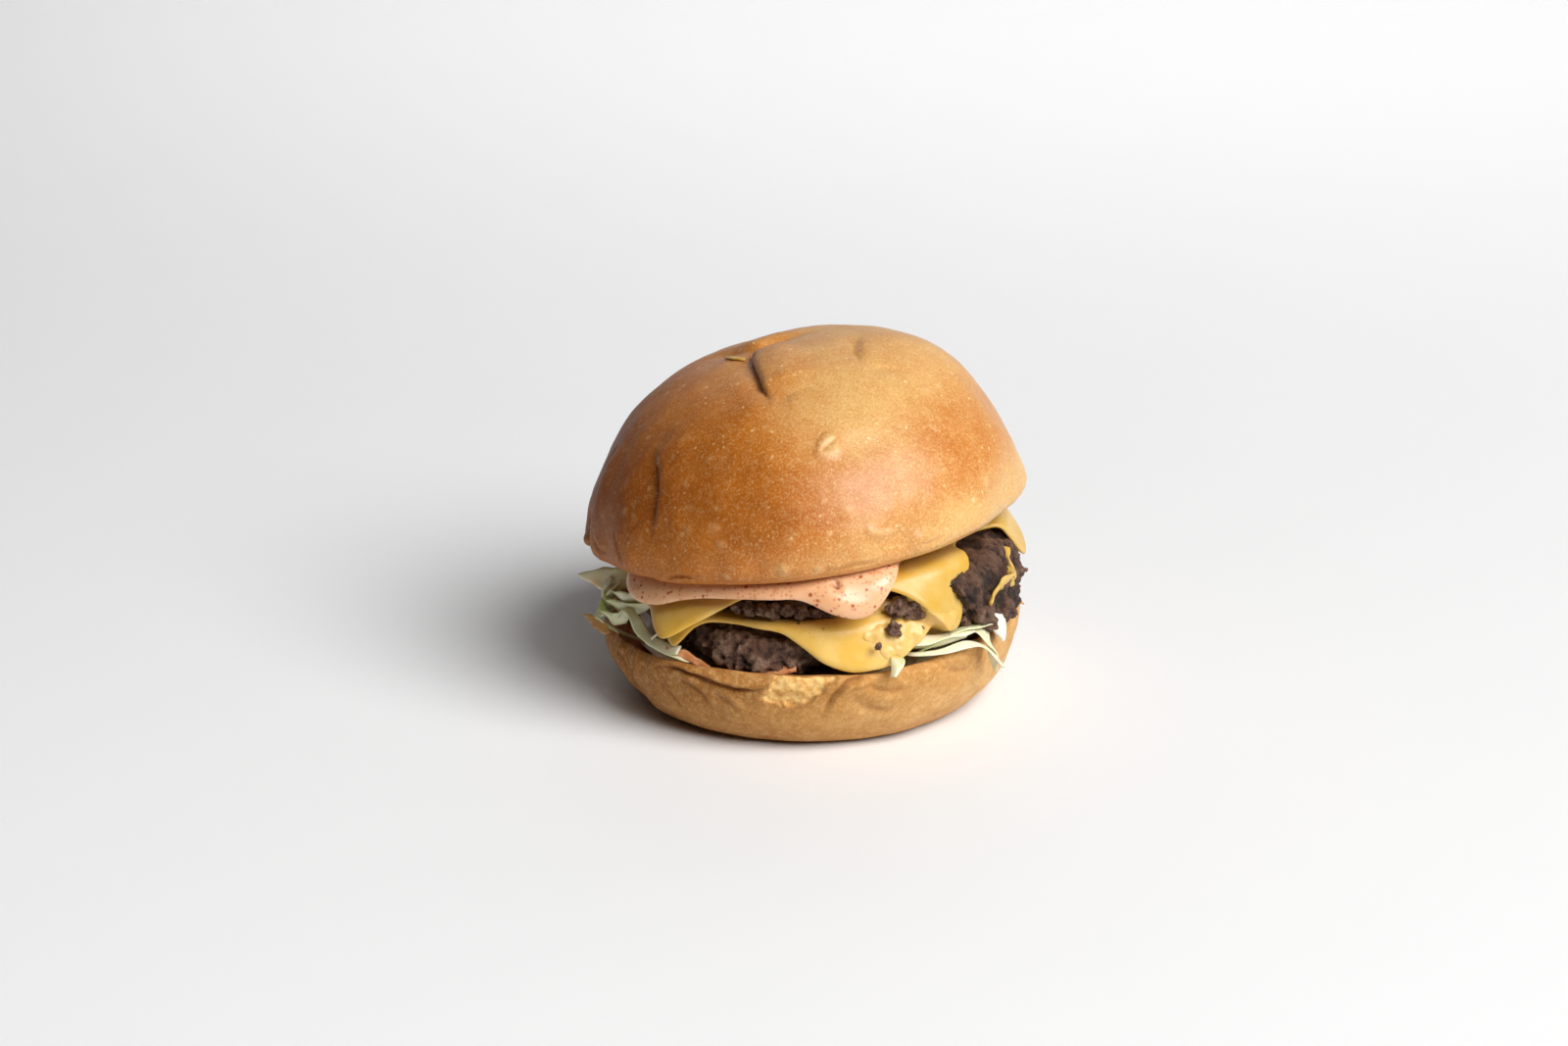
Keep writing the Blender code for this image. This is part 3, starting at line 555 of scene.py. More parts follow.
def crownSurface(angle, reach):
    size, dome = crown["radius"] * around(crown["outline"])(angle), crown["domeShare"]
    tip = np.minimum(reach / dome, 1) * math.pi / 2
    under = np.clip((reach - dome) / (1 - dome), 0, 1) * 3
    radius = size * np.where(under > 0, np.interp(under, range(4), (1, 0.990, 0.965, 0.92)), np.sin(tip))
    z = np.where(under > 0, -crown["lip"] * np.interp(under, range(4), (0, 0.55, 0.95, 1)),
                 crown["height"] * np.cos(tip))
    points = turned(radius, angle, z)
    out = np.stack([points[:, 0] / crown["radius"], points[:, 1] / crown["radius"],
                    np.maximum(z, 0) / crown["height"]], -1)
    out /= np.maximum(np.linalg.norm(out, axis=1, keepdims=True), 1e-9)
    relief = 0.9 * smoothField(points, 26) + 0.35 * smoothField(points, 11) + 0.10 * smoothField(points, 3.5)
    creaseShade, pale = np.zeros(len(points)), np.zeros(len(points))
    for path, depth, sharp, wide, swell, swellWidth, lean, creviceShade in crownFolds:
        signed, along = besidePath(points[:, 0], points[:, 1], path)
        ends = np.minimum(along, 1 - along)
        taper = np.clip(3.6 * ends, 0, 1) ** 1.3
        off = np.abs(signed)
        lipSide = signed > 0
        inFold = np.where(lipSide, bump(off, sharp), np.exp(-((off / wide) ** 1.2)))
        lip = np.where(lipSide, bump(off - 0.8 * swellWidth, swellWidth), 0)
        relief += taper * (swell * lip - depth * inFold)
        # painted shade along the crack of each fold
        creaseShade = np.maximum(creaseShade, creviceShade * taper * bump(signed - 0.2, 0.6))
        ahead = np.gradient(np.array(path, float), axis=0)
        heading = ahead[np.clip(np.rint(along * (len(path) - 1)).astype(int), 0, len(path) - 1)]
        heading /= np.linalg.norm(heading, axis=1, keepdims=True)
        shift = taper * lean * np.where(lipSide, bump(off - 1.1 * sharp, 1.2 * sharp), 0)
        points[:, 0] += heading[:, 1] * shift
        points[:, 1] -= heading[:, 0] * shift
    arc = 0.95  # millimetres of rim in one degree
    for path, depth, width in rimCracks:
        signed, along = besidePath(np.degrees(angle) * arc, z, [(turn * arc, level) for turn, level in path])
        taper = np.clip(4 * np.minimum(along, 1 - along), 0, 1)
        swell = 0.5 * bump(signed - 1.8 * width, 1.2 * width)
        relief += taper * (depth * swell - depth * bump(signed, width))
        # painted shade in each rim crack
        creaseShade = np.maximum(creaseShade, taper * min(1, depth) * bump(signed, 0.6 * width))
    relief += 0.35 * smoothField(points, 6, 4) * bump(z - 0.5, 5)
    for centre, width, rise in crownSwells:
        relief += rise * bump(awayFrom(points, centre), width)
    for centre, width, rise, tone in crownBlisters:
        far = awayFrom(points, centre)
        turn = np.arctan2(points[:, 2] - centre[2], points[:, 0] - centre[0])
        far = far * (1 + 0.12 * np.sin(2 * turn + centre[0]))
        relief += rise * bump(far, width * 0.75)
        pale = np.maximum(pale, tone * np.clip(1.6 - 1.3 * far / width, 0, 1))
    # the burst blister at the front: a pale oval with a slanting fold, and a thin line of painted shade round
    # its lower left
    ringX, ringZ = (points[:, 0] - 7.1) / 2.9, (points[:, 2] - 25.8) / 2.2  # its centre and half sizes
    front = points[:, 1] < 0
    ring = np.hypot(ringX, ringZ) * (1 + 0.10 * np.sin(3 * np.arctan2(ringZ, ringX)))
    inRing = front * np.clip(4 - 4 * ring, 0, 1)
    fold = bump(0.55 * ringX - 0.83 * ringZ + 0.15, 0.16) * (ringX > -0.5)
    relief += 0.48 * inRing - 0.5 * inRing * fold + front * 0.16 * bump(ring - 1, 0.2)
    pale = np.maximum(pale, inRing * (0.9 - 0.8 * fold))
    # painted shade only: the line is colour, with no groove under it
    crack = 0.9 * bump(ring - 1.18, 0.12) * np.clip(0.5 - ringX, 0, 1)
    creaseShade = np.maximum(creaseShade, np.where(front, crack, 0))
    # the smooth crescent above the round dent at the lower right
    path = [(15.6, 6.6), (17.6, 5.4), (19.6, 4.9), (21, 5.2)]
    crescent = besidePath(points[:, 0], points[:, 2], path)[0]
    relief += np.where(front, 0.55 * bump(crescent, 0.8), 0)
    pale = np.maximum(pale, np.where(front, 0.8 * bump(crescent, 0.7), 0))
    points += out * relief[:, None]
    points[:, 0] += crown["lean"] * z / crown["height"]
    # darker to the left and paler to the right, partly baked colour and partly painted shade and light from
    # the key light at the right; paler along the lower rim; paler at the top, part of it a painted sheen; a
    # painted highlight at the front
    side = points[:, 0] / crown["radius"]
    highlight = awayFrom(points, (12, -42, 24))
    bakeAndPaintedLight = 0.50 + 0.44 * side + 0.26 * bump(z - 1, 8) - 0.10 * bump(z - 17, 13) + 0.28 * bump(z - 42, 14)
    # a painted highlight at the front, where the key light is mirrored
    bakeAndPaintedLight += 0.36 * bump(highlight, 19)
    return points, bakeAndPaintedLight, pale, creaseShade


def makeCrown():
    cutShare = 0.86  # the cut lies that far down the lip
    angle, reach, faces, edge = squareDisc(crown["grid"])
    points, bakeAndPaintedLight, pale, creaseShade = crownSurface(angle, reach)
    # the cut face closes the dome from below, ring by ring
    previous, cut, count, extra = edge, [], len(points), [points]
    for share, level in ((0.97, 0.96), (0.60, cutShare), (0.25, cutShare)):
        extra.append(points[edge] * np.array((share, share, 0)) + np.array((0, 0, -level * crown["lip"])))
        current = list(range(count, count + len(edge)))
        cut += zip(previous, current, current[1:] + current[:1], previous[1:] + previous[:1])
        count += len(edge)
        previous = current
    extra.append(np.array([[0, 0, -cutShare * crown["lip"]]]))
    cut += zip(previous, [count] * len(edge), previous[1:] + previous[:1])
    points = np.concatenate(extra)
    pad = len(points) - len(bakeAndPaintedLight)
    level, toRight, toBack = planes["crownCut"]
    lift = level + layerGap / 2 + cutShare * crown["lip"]
    tilt = Matrix.Rotation(math.atan(toBack), 3, "X") @ Matrix.Rotation(-math.atan(toRight), 3, "Y")
    points = points @ np.array(tilt).T + np.array((crown["offset"], 0, lift))
    attributes = {"bakeAndPaintedLight": np.pad(bakeAndPaintedLight, (0, pad), constant_values=0.9)}
    attributes.update({key: np.pad(values, (0, pad)) for key, values in (("pale", pale), ("creaseShade", creaseShade))})
    return addPiece("crownBun", points, faces + cut, crownCrust, "crown_crust", "crown",
                    attributes=attributes)


crownBun = makeCrown()

heel = {
    "foot": 38.5, "segments": 860, "halfWidth": 53,
    "outline": {-170: 52, -150: 52.6, -120: 53, -90: 52.4, -45: 52.6, 0: 53.6, 90: 52, 150: 51.6},
    "lip": {-170: 18.6, -150: 19.6, -125: 21.6, -90: 22.3, -68: 22, -45: 23.6, 0: 24.4, 90: 22, 150: 19.5},
    "folds": [(-152, 1.3, 3.4), (-163, 0.9, 3), (-118, 0.6, 5), (130, 1, 4)],
    "tornDepth": 0.9,
}
# The torn patch of the wall, (degrees, height) round its edge
tornEdge = [
    (-104.6, 16.2), (-99.8, 14.7), (-95.9, 14.1), (-92.4, 14.9), (-88.7, 16.5), (-86, 18.8), (-82.4, 22.8),
    (-90, 25), (-98.8, 24.8), (-101, 19.4), (-104.6, 16.2),
]
# Creases of the wall: (degrees, height) along them, depth, width, swell on the left of the path
heelCreases = [
    ([(-136, 18.4), (-130, 19.9), (-125.3, 20.3), (-119.7, 19.2), (-115.4, 18.6), (-111, 17.8),
     (-105.8, 17.8), (-101.6, 19)], 1.3, 0.6, 0.9),
    ([(-148.4, 21.2), (-146.4, 19.6), (-145.4, 17.6), (-147.4, 14.6), (-151.5, 11.5)], 1.1, 0.8, 0.7),
    ([(-158, 17.5), (-155, 15.2), (-153, 12), (-153.5, 8.5)], 0.8, 0.9, 0.6),
    ([(-127, 17.8), (-123, 16.6), (-120.4, 14.6), (-119.4, 11.3)], 0.7, 0.8, 0.5),
    ([(-134.6, 14.6), (-131.5, 12), (-129, 8.4)], 0.6, 0.9, 0.4),
    ([(-116.5, 15.8), (-113, 14.2), (-110.2, 11.8)], 0.45, 0.7, 0.4),
    ([(-74.5, 22.6), (-77.5, 21.4), (-80.4, 20.6), (-82.4, 19), (-84.3, 16.7),
     (-86.6, 13.6)], 1.1, 0.55, 0.9),
    ([(-74.8, 19.7), (-70.7, 17.7), (-63.5, 17)], 0.5, 1.4, 0.3),
    ([(-79, 16), (-73, 12.5), (-66, 11.5)], 0.4, 1.6, 0.3),
    ([(-52, 20.5), (-46, 18), (-41, 17.5)], 0.4, 1.4, 0.3),
    ([(60, 17), (72, 15), (80, 16.5)], 0.6, 1, 0.4),
    ([(118, 18), (126, 12), (131, 8)], 0.7, 1, 0.5),
    ([(12, 20), (20, 15), (24, 14)], 0.5, 1, 0.4),
]


def heelProfile(angle):
    # from the middle of the cut face over the lip and down the wall to the middle of the base
    outer, lip = around(heel["outline"])(angle), around(heel["lip"])(angle)
    middle, foot = planes["heelCut"][0] - layerGap / 2, heel["foot"]
    cut = levelAt("heelCut", 0.86 * outer * np.cos(angle), 0.86 * outer * np.sin(angle)) - layerGap / 2
    flat = np.zeros(len(angle))
    rows = [(flat, flat + middle), (0.43 * outer, (middle + cut) / 2), (outer - 9, cut),
            (outer - 5.6, cut + 0.30 * (lip - cut)), (outer - 3.4, lip - 1.4), (outer - 2, lip - 0.1),
            (outer - 0.8, lip - 0.3), (outer, lip - 2), (outer - 0.4, lip - 5.5)]
    rows += [(outer - inset, share * lip) for inset, share in ((2, 0.52), (4.2, 0.32), (7, 0.17), (10, 0.06))]
    rows += [(flat + share * foot, flat) for share in (1, 0.5, 0)]
    return np.array(rows)


def makeHeel():
    # places along the profile's rows, closest together on the lip and the wall
    rings = [0, 0.5, 1, 1.5, 2]
    for start, end, count in ((2.3, 4.7, 13), (4.85, 7.6, 24), (7.7, 11.2, 46), (11.4, 13, 10)):
        rings += list(np.linspace(start, end, count))
    rings += [14, 15]
    angle, ring, faces = polarGrid(heel["segments"], rings)
    table = heelProfile(angle)
    first = np.clip(ring.astype(int), 0, 14)
    share = ring - first
    pick = np.arange(len(angle))
    a, b, c, d = (table[np.clip(first + k, 0, 15), :, pick] for k in (-1, 0, 1, 2))
    s = share[:, None]
    curve = between(a, b, c, d, s)
    straight = (ring < 2) | (ring >= 12)
    curve = np.where(straight[:, None], b + (c - b) * s, curve)
    radius, z = curve[:, 0], np.maximum(curve[:, 1], 0)
    degrees = np.degrees(angle)
    wall = np.clip((ring - 4.6) / 1.2, 0, 1) * np.clip((12.6 - ring) / 1.4, 0, 1)
    relief = 0.5 * noiseAt(turned(4, angle, z / 9))
    points = turned(radius, angle, z)
    relief += 0.45 * smoothField(points, 9) + 0.24 * smoothField(points * np.array((1, 1, 0.6)), 3.8)
    for turn, depth, width in heel["folds"]:
        relief -= depth * bump((degrees - turn + 180) % 360 - 180, width)
    creaseShade = np.zeros(len(points))
    arc = 0.92  # millimetres of wall in one degree
    ragged = 0.5 * smoothField(points, 4, 5)
    for path, depth, width, swell in heelCreases:
        signed, along = besidePath(degrees * arc, z + ragged, [(turn * arc, level) for turn, level in path])
        taper = np.clip(np.minimum(0.2 + 4 * along, 0.2 + 4 * (1 - along)), 0, 1)
        relief += taper * (swell * bump(signed - 2.2 * width, 1.6 * width) - depth * bump(signed, width))
        # painted shade in each crease
        creaseShade = np.maximum(creaseShade, taper * min(1, depth) * bump(signed, 0.55 * width))
    ragged = 1.1 * smoothField(points, 2.6, 9) + 0.5 * smoothField(points, 1, 9)
    edge = [(turn * arc, level) for turn, level in tornEdge]
    inside = np.abs(besidePath(degrees * arc, z, edge)[0])
    crossings = np.zeros(len(points), bool)
    for (startX, startZ), (endX, endZ) in zip(edge, edge[1:]):
        if startZ != endZ:
            spans = (z < startZ) != (z < endZ)
            reach = startX + (z - startZ) * (endX - startX) / (endZ - startZ)
            crossings ^= spans & (degrees * arc < reach)
    inside = np.where(crossings, inside, -inside)
    torn = np.clip((inside + ragged) * 2.4, 0, 1) * (ring > 5.6)
    flakes = 0.55 * smoothField(points, 2.2, 6) + 0.3 * (0.5 - cellField(points, 1.4)[0])
    relief -= torn * (heel["tornDepth"] - flakes)
    # a thin line of painted shade along the torn edge
    creaseShade = np.maximum(creaseShade * (1 - torn), 0.4 * bump(inside + ragged + 0.25, 0.3) * (ring > 6))
    relief *= wall
    points[:, 0] += relief * np.cos(angle)
    points[:, 1] += relief * np.sin(angle)
    points[:, 2] += 0.35 * smoothField(points, 7, 3) * np.clip(ring - 3.5, 0, 1) * np.clip(7.5 - ring, 0, 1)
    # darker to the left, a painted shade on the side turned from the key light; a paler band low on the wall;
    # darker at the very foot
    bakeAndPaintedLight = 0.45 + 0.44 * points[:, 0] / heel["halfWidth"] + 0.16 * bump(z - 9, 6) - 0.25 * bump(z - 0.5, 1.6)
    # the cut face inside the lip is darkened, partly as painted shade in the recess
    return addPiece("heelBun", points, faces, heelCrust, "heel_crust", "heel",
                    attributes={"bakeAndPaintedLight": bakeAndPaintedLight, "inside": np.clip((5.6 - ring) / 0.9, 0, 1), "torn": torn,
                                "creaseShade": creaseShade * wall})


makeHeel()

patty = {"lump": 8, "crag": 1.5, "segments": 700}
# Each layer: the planes under and over it, its outline, where its edge bends down, how far (in radians) and
# with what radius, how blunt the edge is, how much thicker than the rest
layerDefaults = {"rings": 46, "edge": {0: 60}, "droop": {0: 0}, "swell": {0: 1}}
lowerPatty = {
    "under": "lettuceTop", "over": "lowerPattyTop", "bend": 4, "blunt": 12,
    "outline": {-170: 41.5, -138: 41.5, -124: 45, -114: 49.5, -98: 50, -89: 45, -75: 43.5, -60: 44,
                -46: 45, -34: 48, -22: 51.5, -2: 50.5, 14: 46.5, 50: 45, 90: 45.5, 135: 44},
}
upperPatty = {
    "rings": 66, "under": "lowerCheeseTop", "over": "upperPattyTop", "bend": 6, "blunt": 12,
    "outline": {-170: 42.5, -125: 42.5, -88: 45, -60: 46.5, -50: 49, -44: 57, -38: 63, -30: 64.5, -22: 64.5,
                -14: 62.5, -6: 59, 0: 56, 12: 51.5, 35: 49, 90: 48, 140: 45},
    "edge": {-90: 60, -55: 50, -42: 45.5, -25: 44, -5: 44, 35: 47, 120: 60},
    "droop": {-90: 0, -56: 0.3, -44: 1.15, -22: 1.15, -4: 1.15, 35: 0.3, 90: 0},
    "swell": {-90: 1, -45: 0.95, -15: 0.62, 30: 0.95, 180: 1},
}
lowerCheese = {
    "rings": 36, "under": "lowerPattyTop", "over": "lowerCheeseTop", "bend": 2.6, "blunt": 16,
    "outline": {-165: 43, -146: 45, -138: 50, -131: 54, -126: 48.5, -120: 46, -112: 46, -104: 47.8,
                -98: 49.4, -92: 53, -86: 57, -80: 59.2, -72: 59.6, -66: 58.5, -60: 55.4, -50: 49.5, -38: 48,
                -26: 49, -14: 48.5, 2: 47.5, 20: 53.5, 62: 48, 107: 57, 150: 47},
    "edge": {-131: 45, -100: 47, -75: 46, -50: 46.5, -25: 50.5, 17: 50, 107: 47.5, 180: 46},
    "droop": {-131: 1, -112: 0.3, -95: 1.1, -75: 1.25, -50: 0.9, -25: 1.1, 17: 0.7, 62: 0.4, 107: 0.9,
              180: 0.2},
    "swell": {-131: 0.8, -110: 1, -95: 1.5, -84: 2, -68: 2, -58: 1.3, 0: 1},
}
upperCheese = {
    "rings": 36, "under": "upperPattyTop", "over": "upperCheeseTop", "bend": 3, "blunt": 16,
    "outline": {-165: 45, -150: 48, -140: 52.5, -133: 57.5, -128: 60, -122: 55.5, -116: 50.5, -110: 46.2,
                -100: 45, -80: 46, -69: 49, -61: 54.2, -55: 61, -50: 66, -46: 65.5, -42: 57, -37: 46,
                -34: 43, -18: 43, -12: 50, -6: 60, -1: 60, 6: 53, 14: 49.5, 50: 46, 90: 47,
                132: 58, 160: 47},
    "edge": {-130: 43.5, -90: 44.5, -46: 46.5, -20: 46.5, -5: 46.5, 10: 47, 60: 46.5, 135: 45},
    "droop": {-130: 0.55, -90: 0.3, -60: 1, -46: 1.4, -20: 1.1, -4: 1.1, 10: 0.9, 60: 0.3, 100: 0.3,
              132: 0.9},
}
sauceSpread = {
    "rings": 32, "under": "upperCheeseTop", "over": "crownCut", "bend": 4.5, "blunt": 5,
    "outline": {-165: 44, -154: 48.5, -148: 53.5, -142: 55.8, -134: 56.2, -126: 54.2, -118: 53.2, -110: 53.2,
                -100: 54, -93: 54.8, -84: 59.5, -77: 61.4, -72: 59, -67: 53, -62: 46, -20: 42, 90: 44},
    "edge": {-125: 48.5, -97: 49.5, -75: 49.5, 90: 50},
    "droop": {-125: 0.85, -97: 0.8, -75: 1.25, -40: 0.2, 90: 0.2, 180: 0.4},
    "swell": {-125: 1.6, -97: 1.15, -75: 1.8, -50: 1, 90: 1, 180: 1},
}


def layerRings(count):
    # few rings in the hidden middle, many at the rim, above and then below
    above = [0, 0.06, 0.12, *np.linspace(0.17, 0.5, count)]
    return above + [1 - t for t in above[-2::-1]]


def layerSurface(layer, segments, bead=0):
    layer = {**layerDefaults, **layer}
    angle, t, faces = polarGrid(segments, layerRings(layer["rings"]))
    above = np.where(t <= 0.5, 1, -1)
    share = 1 - (1 - 2 * np.minimum(t, 1 - t)) ** 2
    length = share * around(layer["outline"])(angle)
    edge, droop, bend = around(layer["edge"])(angle), around(layer["droop"])(angle), layer["bend"]
    past = np.maximum(length - edge, 0)
    slope = np.minimum(past / bend, droop)
    straight = past - bend * slope
    radius = np.where(past > 0, edge + bend * np.sin(slope) + straight * np.cos(slope), length)
    drop = bend * (1 - np.cos(slope)) + straight * np.sin(slope)
    x, y = length * np.cos(angle), length * np.sin(angle)
    low = levelAt(layer["under"], x, y) + layerGap / 2
    high = levelAt(layer["over"], x, y) - layerGap / 2
    half = (high - low) / 2 * np.sqrt(np.maximum(0, 1 - share ** layer["blunt"]))
    half *= 1 + (around(layer["swell"])(angle) - 1) * share**4
    half *= 1 + bead * bump(1 - share, 0.05)
    radius = radius + above * half * np.sin(slope)
    z = (low + high) / 2 - drop + above * half * np.cos(slope)
    points = turned(radius, angle, z)
    return angle, share, points, faces


def makeBeefPatty(name, layer, finish, slotName, node):
    angle, share, points, faces = layerSurface(layer, patty["segments"])
    ray = turned(1, angle, np.zeros(len(angle)))
    outer = share > 0.55
    rim = points[outer]
    big = np.zeros(len(points))
    big[outer] = patty["crag"] * (0.9 - 1.9 * cellField(rim, patty["lump"])[0]) + 0.5 * smoothField(rim, 4)
    points += ray * (big * share**6)[:, None]
    rim = points[outer]
    warp = np.stack([smoothField(rim, 3.4, k) for k in (1, 2, 3)], -1)
    clump = cellField(rim * np.array((1, 1, 1.2)) + 2.4 * warp, 9.5)
    grain = cellField(rim + 0.7 * warp, 2.1, 4)
    crack = np.clip((clump[1] - clump[0]) * 3.2, 0, 1)
    hole = np.clip(-smoothField(rim, 5.2, 7) * 2.4 - 0.7, 0, 1)
    lumps = 0.8 * (crack - 0.85) + 0.45 * smoothField(rim, 4.4, 5) - 1.2 * hole
    lumps += 0.42 * (0.5 - grain[0]) + 0.62 * smoothField(rim, 1.6, 2) + 0.36 * smoothField(rim, 0.8, 2)
    lumps -= 0.9 * np.clip(-smoothField(rim, 2.3, 9) * 3 - 0.7, 0, 1)
    fade = np.clip((share[outer] - 0.55) / 0.25, 0, 1)
    points[outer] += normalsOf(points, faces)[outer] * (lumps * fade)[:, None]
    # how far each part stands out; the hollows are painted dark from it as shade
    shadeByProudness = np.zeros(len(points))
    shadeByProudness[outer] = np.clip(0.5 + 0.55 * lumps + 0.12 * (big[outer]), 0, 1)
    return addPiece(name, points, faces, finish, slotName, node, attributes={"shadeByProudness": shadeByProudness})


lowerBeef = makeBeefPatty("lowerBeef", lowerPatty, lowerBeefFinish, "beef_lower", "patty_lower")
upperBeef = makeBeefPatty("upperBeef", upperPatty, upperBeefFinish, "beef_upper", "patty_upper")


def makeCheeseSlice(name, layer, finish, node, smears):
    angle, share, points, faces = layerSurface(layer, 480, bead=0.35)
    outer = share > 0.6
    wave = np.zeros(len(points))
    wave[outer] = 0.30 * smoothField(points[outer], 12, 2) + 0.07 * smoothField(points[outer], 4, 2)
    points += normalsOf(points, faces) * (wave * np.clip((share - 0.6) / 0.2, 0, 1))[:, None]
    smear = np.zeros(len(points))
    for centre, size in smears:
        smear = np.maximum(smear, bump(awayFrom(points, centre), size))
    ragged = np.zeros(len(points))
    ragged[outer] = smoothField(points[outer], 2, 6)
    smear = np.clip(smear * 1.5 + 0.9 * ragged - 0.55, 0, 1)
    return addPiece(name, points, faces, finish, node, node, attributes={"smear": smear})


# where sauce and fat ran into the lower slice: centre, size
lowerSmears = [((22, -46, 33), 8), ((27, -42, 31), 5), ((16, -50, 30), 4)]
lowerSlice = makeCheeseSlice("lowerCheeseSlice", lowerCheese, lowerCheeseFinish, "cheese_lower", lowerSmears)
upperSlice = makeCheeseSlice("upperCheeseSlice", upperCheese, upperCheeseFinish, "cheese_upper", [])


def makeSaucePiece():
    angle, share, points, faces = layerSurface(sauceSpread, 460)
    outer = share > 0.6
    wave = np.zeros(len(points))
    wave[outer] = 0.30 * smoothField(points[outer], 10, 4)
    normals = normalsOf(points, faces)
    degrees = np.degrees(angle)
    # tucked in under the crown between the lobes, and the small hole where an air bubble burst
    wave -= 0.7 * bump(degrees + 79, 5) * bump(share - 0.86, 0.05)
    wave += 0.5 * bump(degrees + 81, 9) * bump(share - 0.95, 0.04)
    hole = awayFrom(points, (5.9, -53, 46.5))
    points += normals * wave[:, None]
    points -= normals * (2 * np.exp(-((hole / 1.15) ** 4)))[:, None]
    # the hole is painted dark as well: painted shade in the pit
    return addPiece("sauceSpread", points, faces, sauceFinish, "pink_sauce", "sauce",
                    attributes={"pitShade": np.exp(-((hole / 1) ** 4))})


makeSaucePiece()

# Shreds of lettuce: width, the tip's share of it, roll, how green, how it ruffles, the points to the tip
shreds = [
    (6.8, 0.04, -70, 0.08, 0.25, [(-38, -15, 33.5), (-43.4, -14, 33.4), (-47.4, -12.3, 32.4),
     (-51.4, -11, 32), (-54.4, -10, 32.1), (-57.8, -9, 32.3)]),
    (2.6, 0.5, 10, 0.05, 0.3, [(-40, -12, 15), (-47, -13.5, 18.5), (-52.4, -15, 22.6), (-51.4, -14, 25.4),
     (-51, -13, 28), (-50.6, -12.5, 30.6), (-49.4, -12, 32.6)]),
    (3.2, 0.4, -30, 0.15, 0.5, [(-46, -13, 21), (-49.6, -15, 23.6), (-50.2, -14.5, 26.6), (-49.6, -14, 29),
     (-47.9, -13, 31.2)]),
    (3, 0.05, -50, 0.12, 0.2, [(-49.6, -15, 26), (-49.4, -16, 29.4), (-48.2, -16, 31.4),
     (-46.6, -15, 33.2)]),
    (4.6, 0.4, -66, 0.55, 0.5, [(-48.6, -13.5, 30.6), (-50, -15.5, 28.8), (-48.5, -18, 27.6),
     (-45.7, -20.8, 27.8), (-42.6, -23.4, 28.8), (-39.6, -25.4, 30.6)]),
    (3.2, 0.7, -80, 0.35, 0.3, [(-49, -14, 30.4), (-47.6, -18.5, 30.4), (-44.7, -21, 30.6),
     (-41.6, -22.5, 31)]),
    (4.6, 0.5, -62, 0.6, 0.5, [(-50.4, -12.5, 27.4), (-51, -15.5, 25.4), (-49.3, -18.4, 24.2),
     (-46.9, -20.6, 25.2), (-45, -21.6, 27.2)]),
    (2.8, 1, 40, 0.35, 0.2, [(-47.2, -20.4, 25.4), (-45.8, -21.8, 28), (-44.4, -23.6, 28.2),
     (-43.1, -26, 27), (-41.8, -28, 25.2), (-39.8, -30.5, 23.9), (-37.3, -33.8, 23.5), (-34.6, -36.6, 23.4),
     (-31.9, -39, 24)]),
    (2.4, 0.8, 60, 0.15, 0.2, [(-43, -25.2, 26.4), (-40.9, -28.6, 24.2), (-38.5, -31.9, 23),
     (-35.4, -35.4, 22.8)]),
    (0.8, 0.6, 0, 0, 0.1, [(-38.7, -34.2, 25), (-38, -34.7, 26), (-37, -35.2, 26.8)]),
    (3, 0.5, 0, 0.45, 0.3, [(-24, -33, 16.2), (-28, -37.5, 20), (-31.5, -38.8, 22), (-35.5, -36.8, 22.6)]),
    (3.6, 0.4, 10, 0.05, 0.3, [(20.5, -43.4, 26.4), (24.6, -43.6, 27.6), (30, -41.6, 28.2), (36, -38, 28),
     (40, -35, 27.6)]),
    (3.4, 0.35, 0, 0.5, 0.3, [(24, -35, 18.2), (27, -40.5, 24.6), (32.5, -39.2, 28), (39.5, -35.2, 28.6),
     (44.4, -31.8, 28.2)]),
    (2.6, 0.4, -60, 0.6, 0.2, [(22, -40, 25), (27, -41.4, 25.8), (33, -39.6, 26.6), (38, -36.6, 26.8)]),
    (2.3, 0.3, 25, 0, 0.25, [(22, -41, 24), (26, -43.4, 24.8), (32, -42.4, 25), (38, -39.2, 25.6),
     (41.6, -37.2, 24.6), (44.6, -35.6, 21.6), (47.4, -33.6, 17.4)]),
    (5.6, 0.25, 0, 0.3, 0.3, [(35, -28, 25.4), (38.5, -31.5, 27.6), (41.6, -33.6, 27), (44.2, -34.2, 23.2),
     (45.4, -33, 16.4)]),
    (4.4, 0.35, 0, 0.5, 0.4, [(15, -37, 17.8), (17.5, -43.5, 21.6), (20.4, -47.6, 25.4), (20.8, -50.8, 25.2),
     (19.8, -52.8, 22.6)]),
]


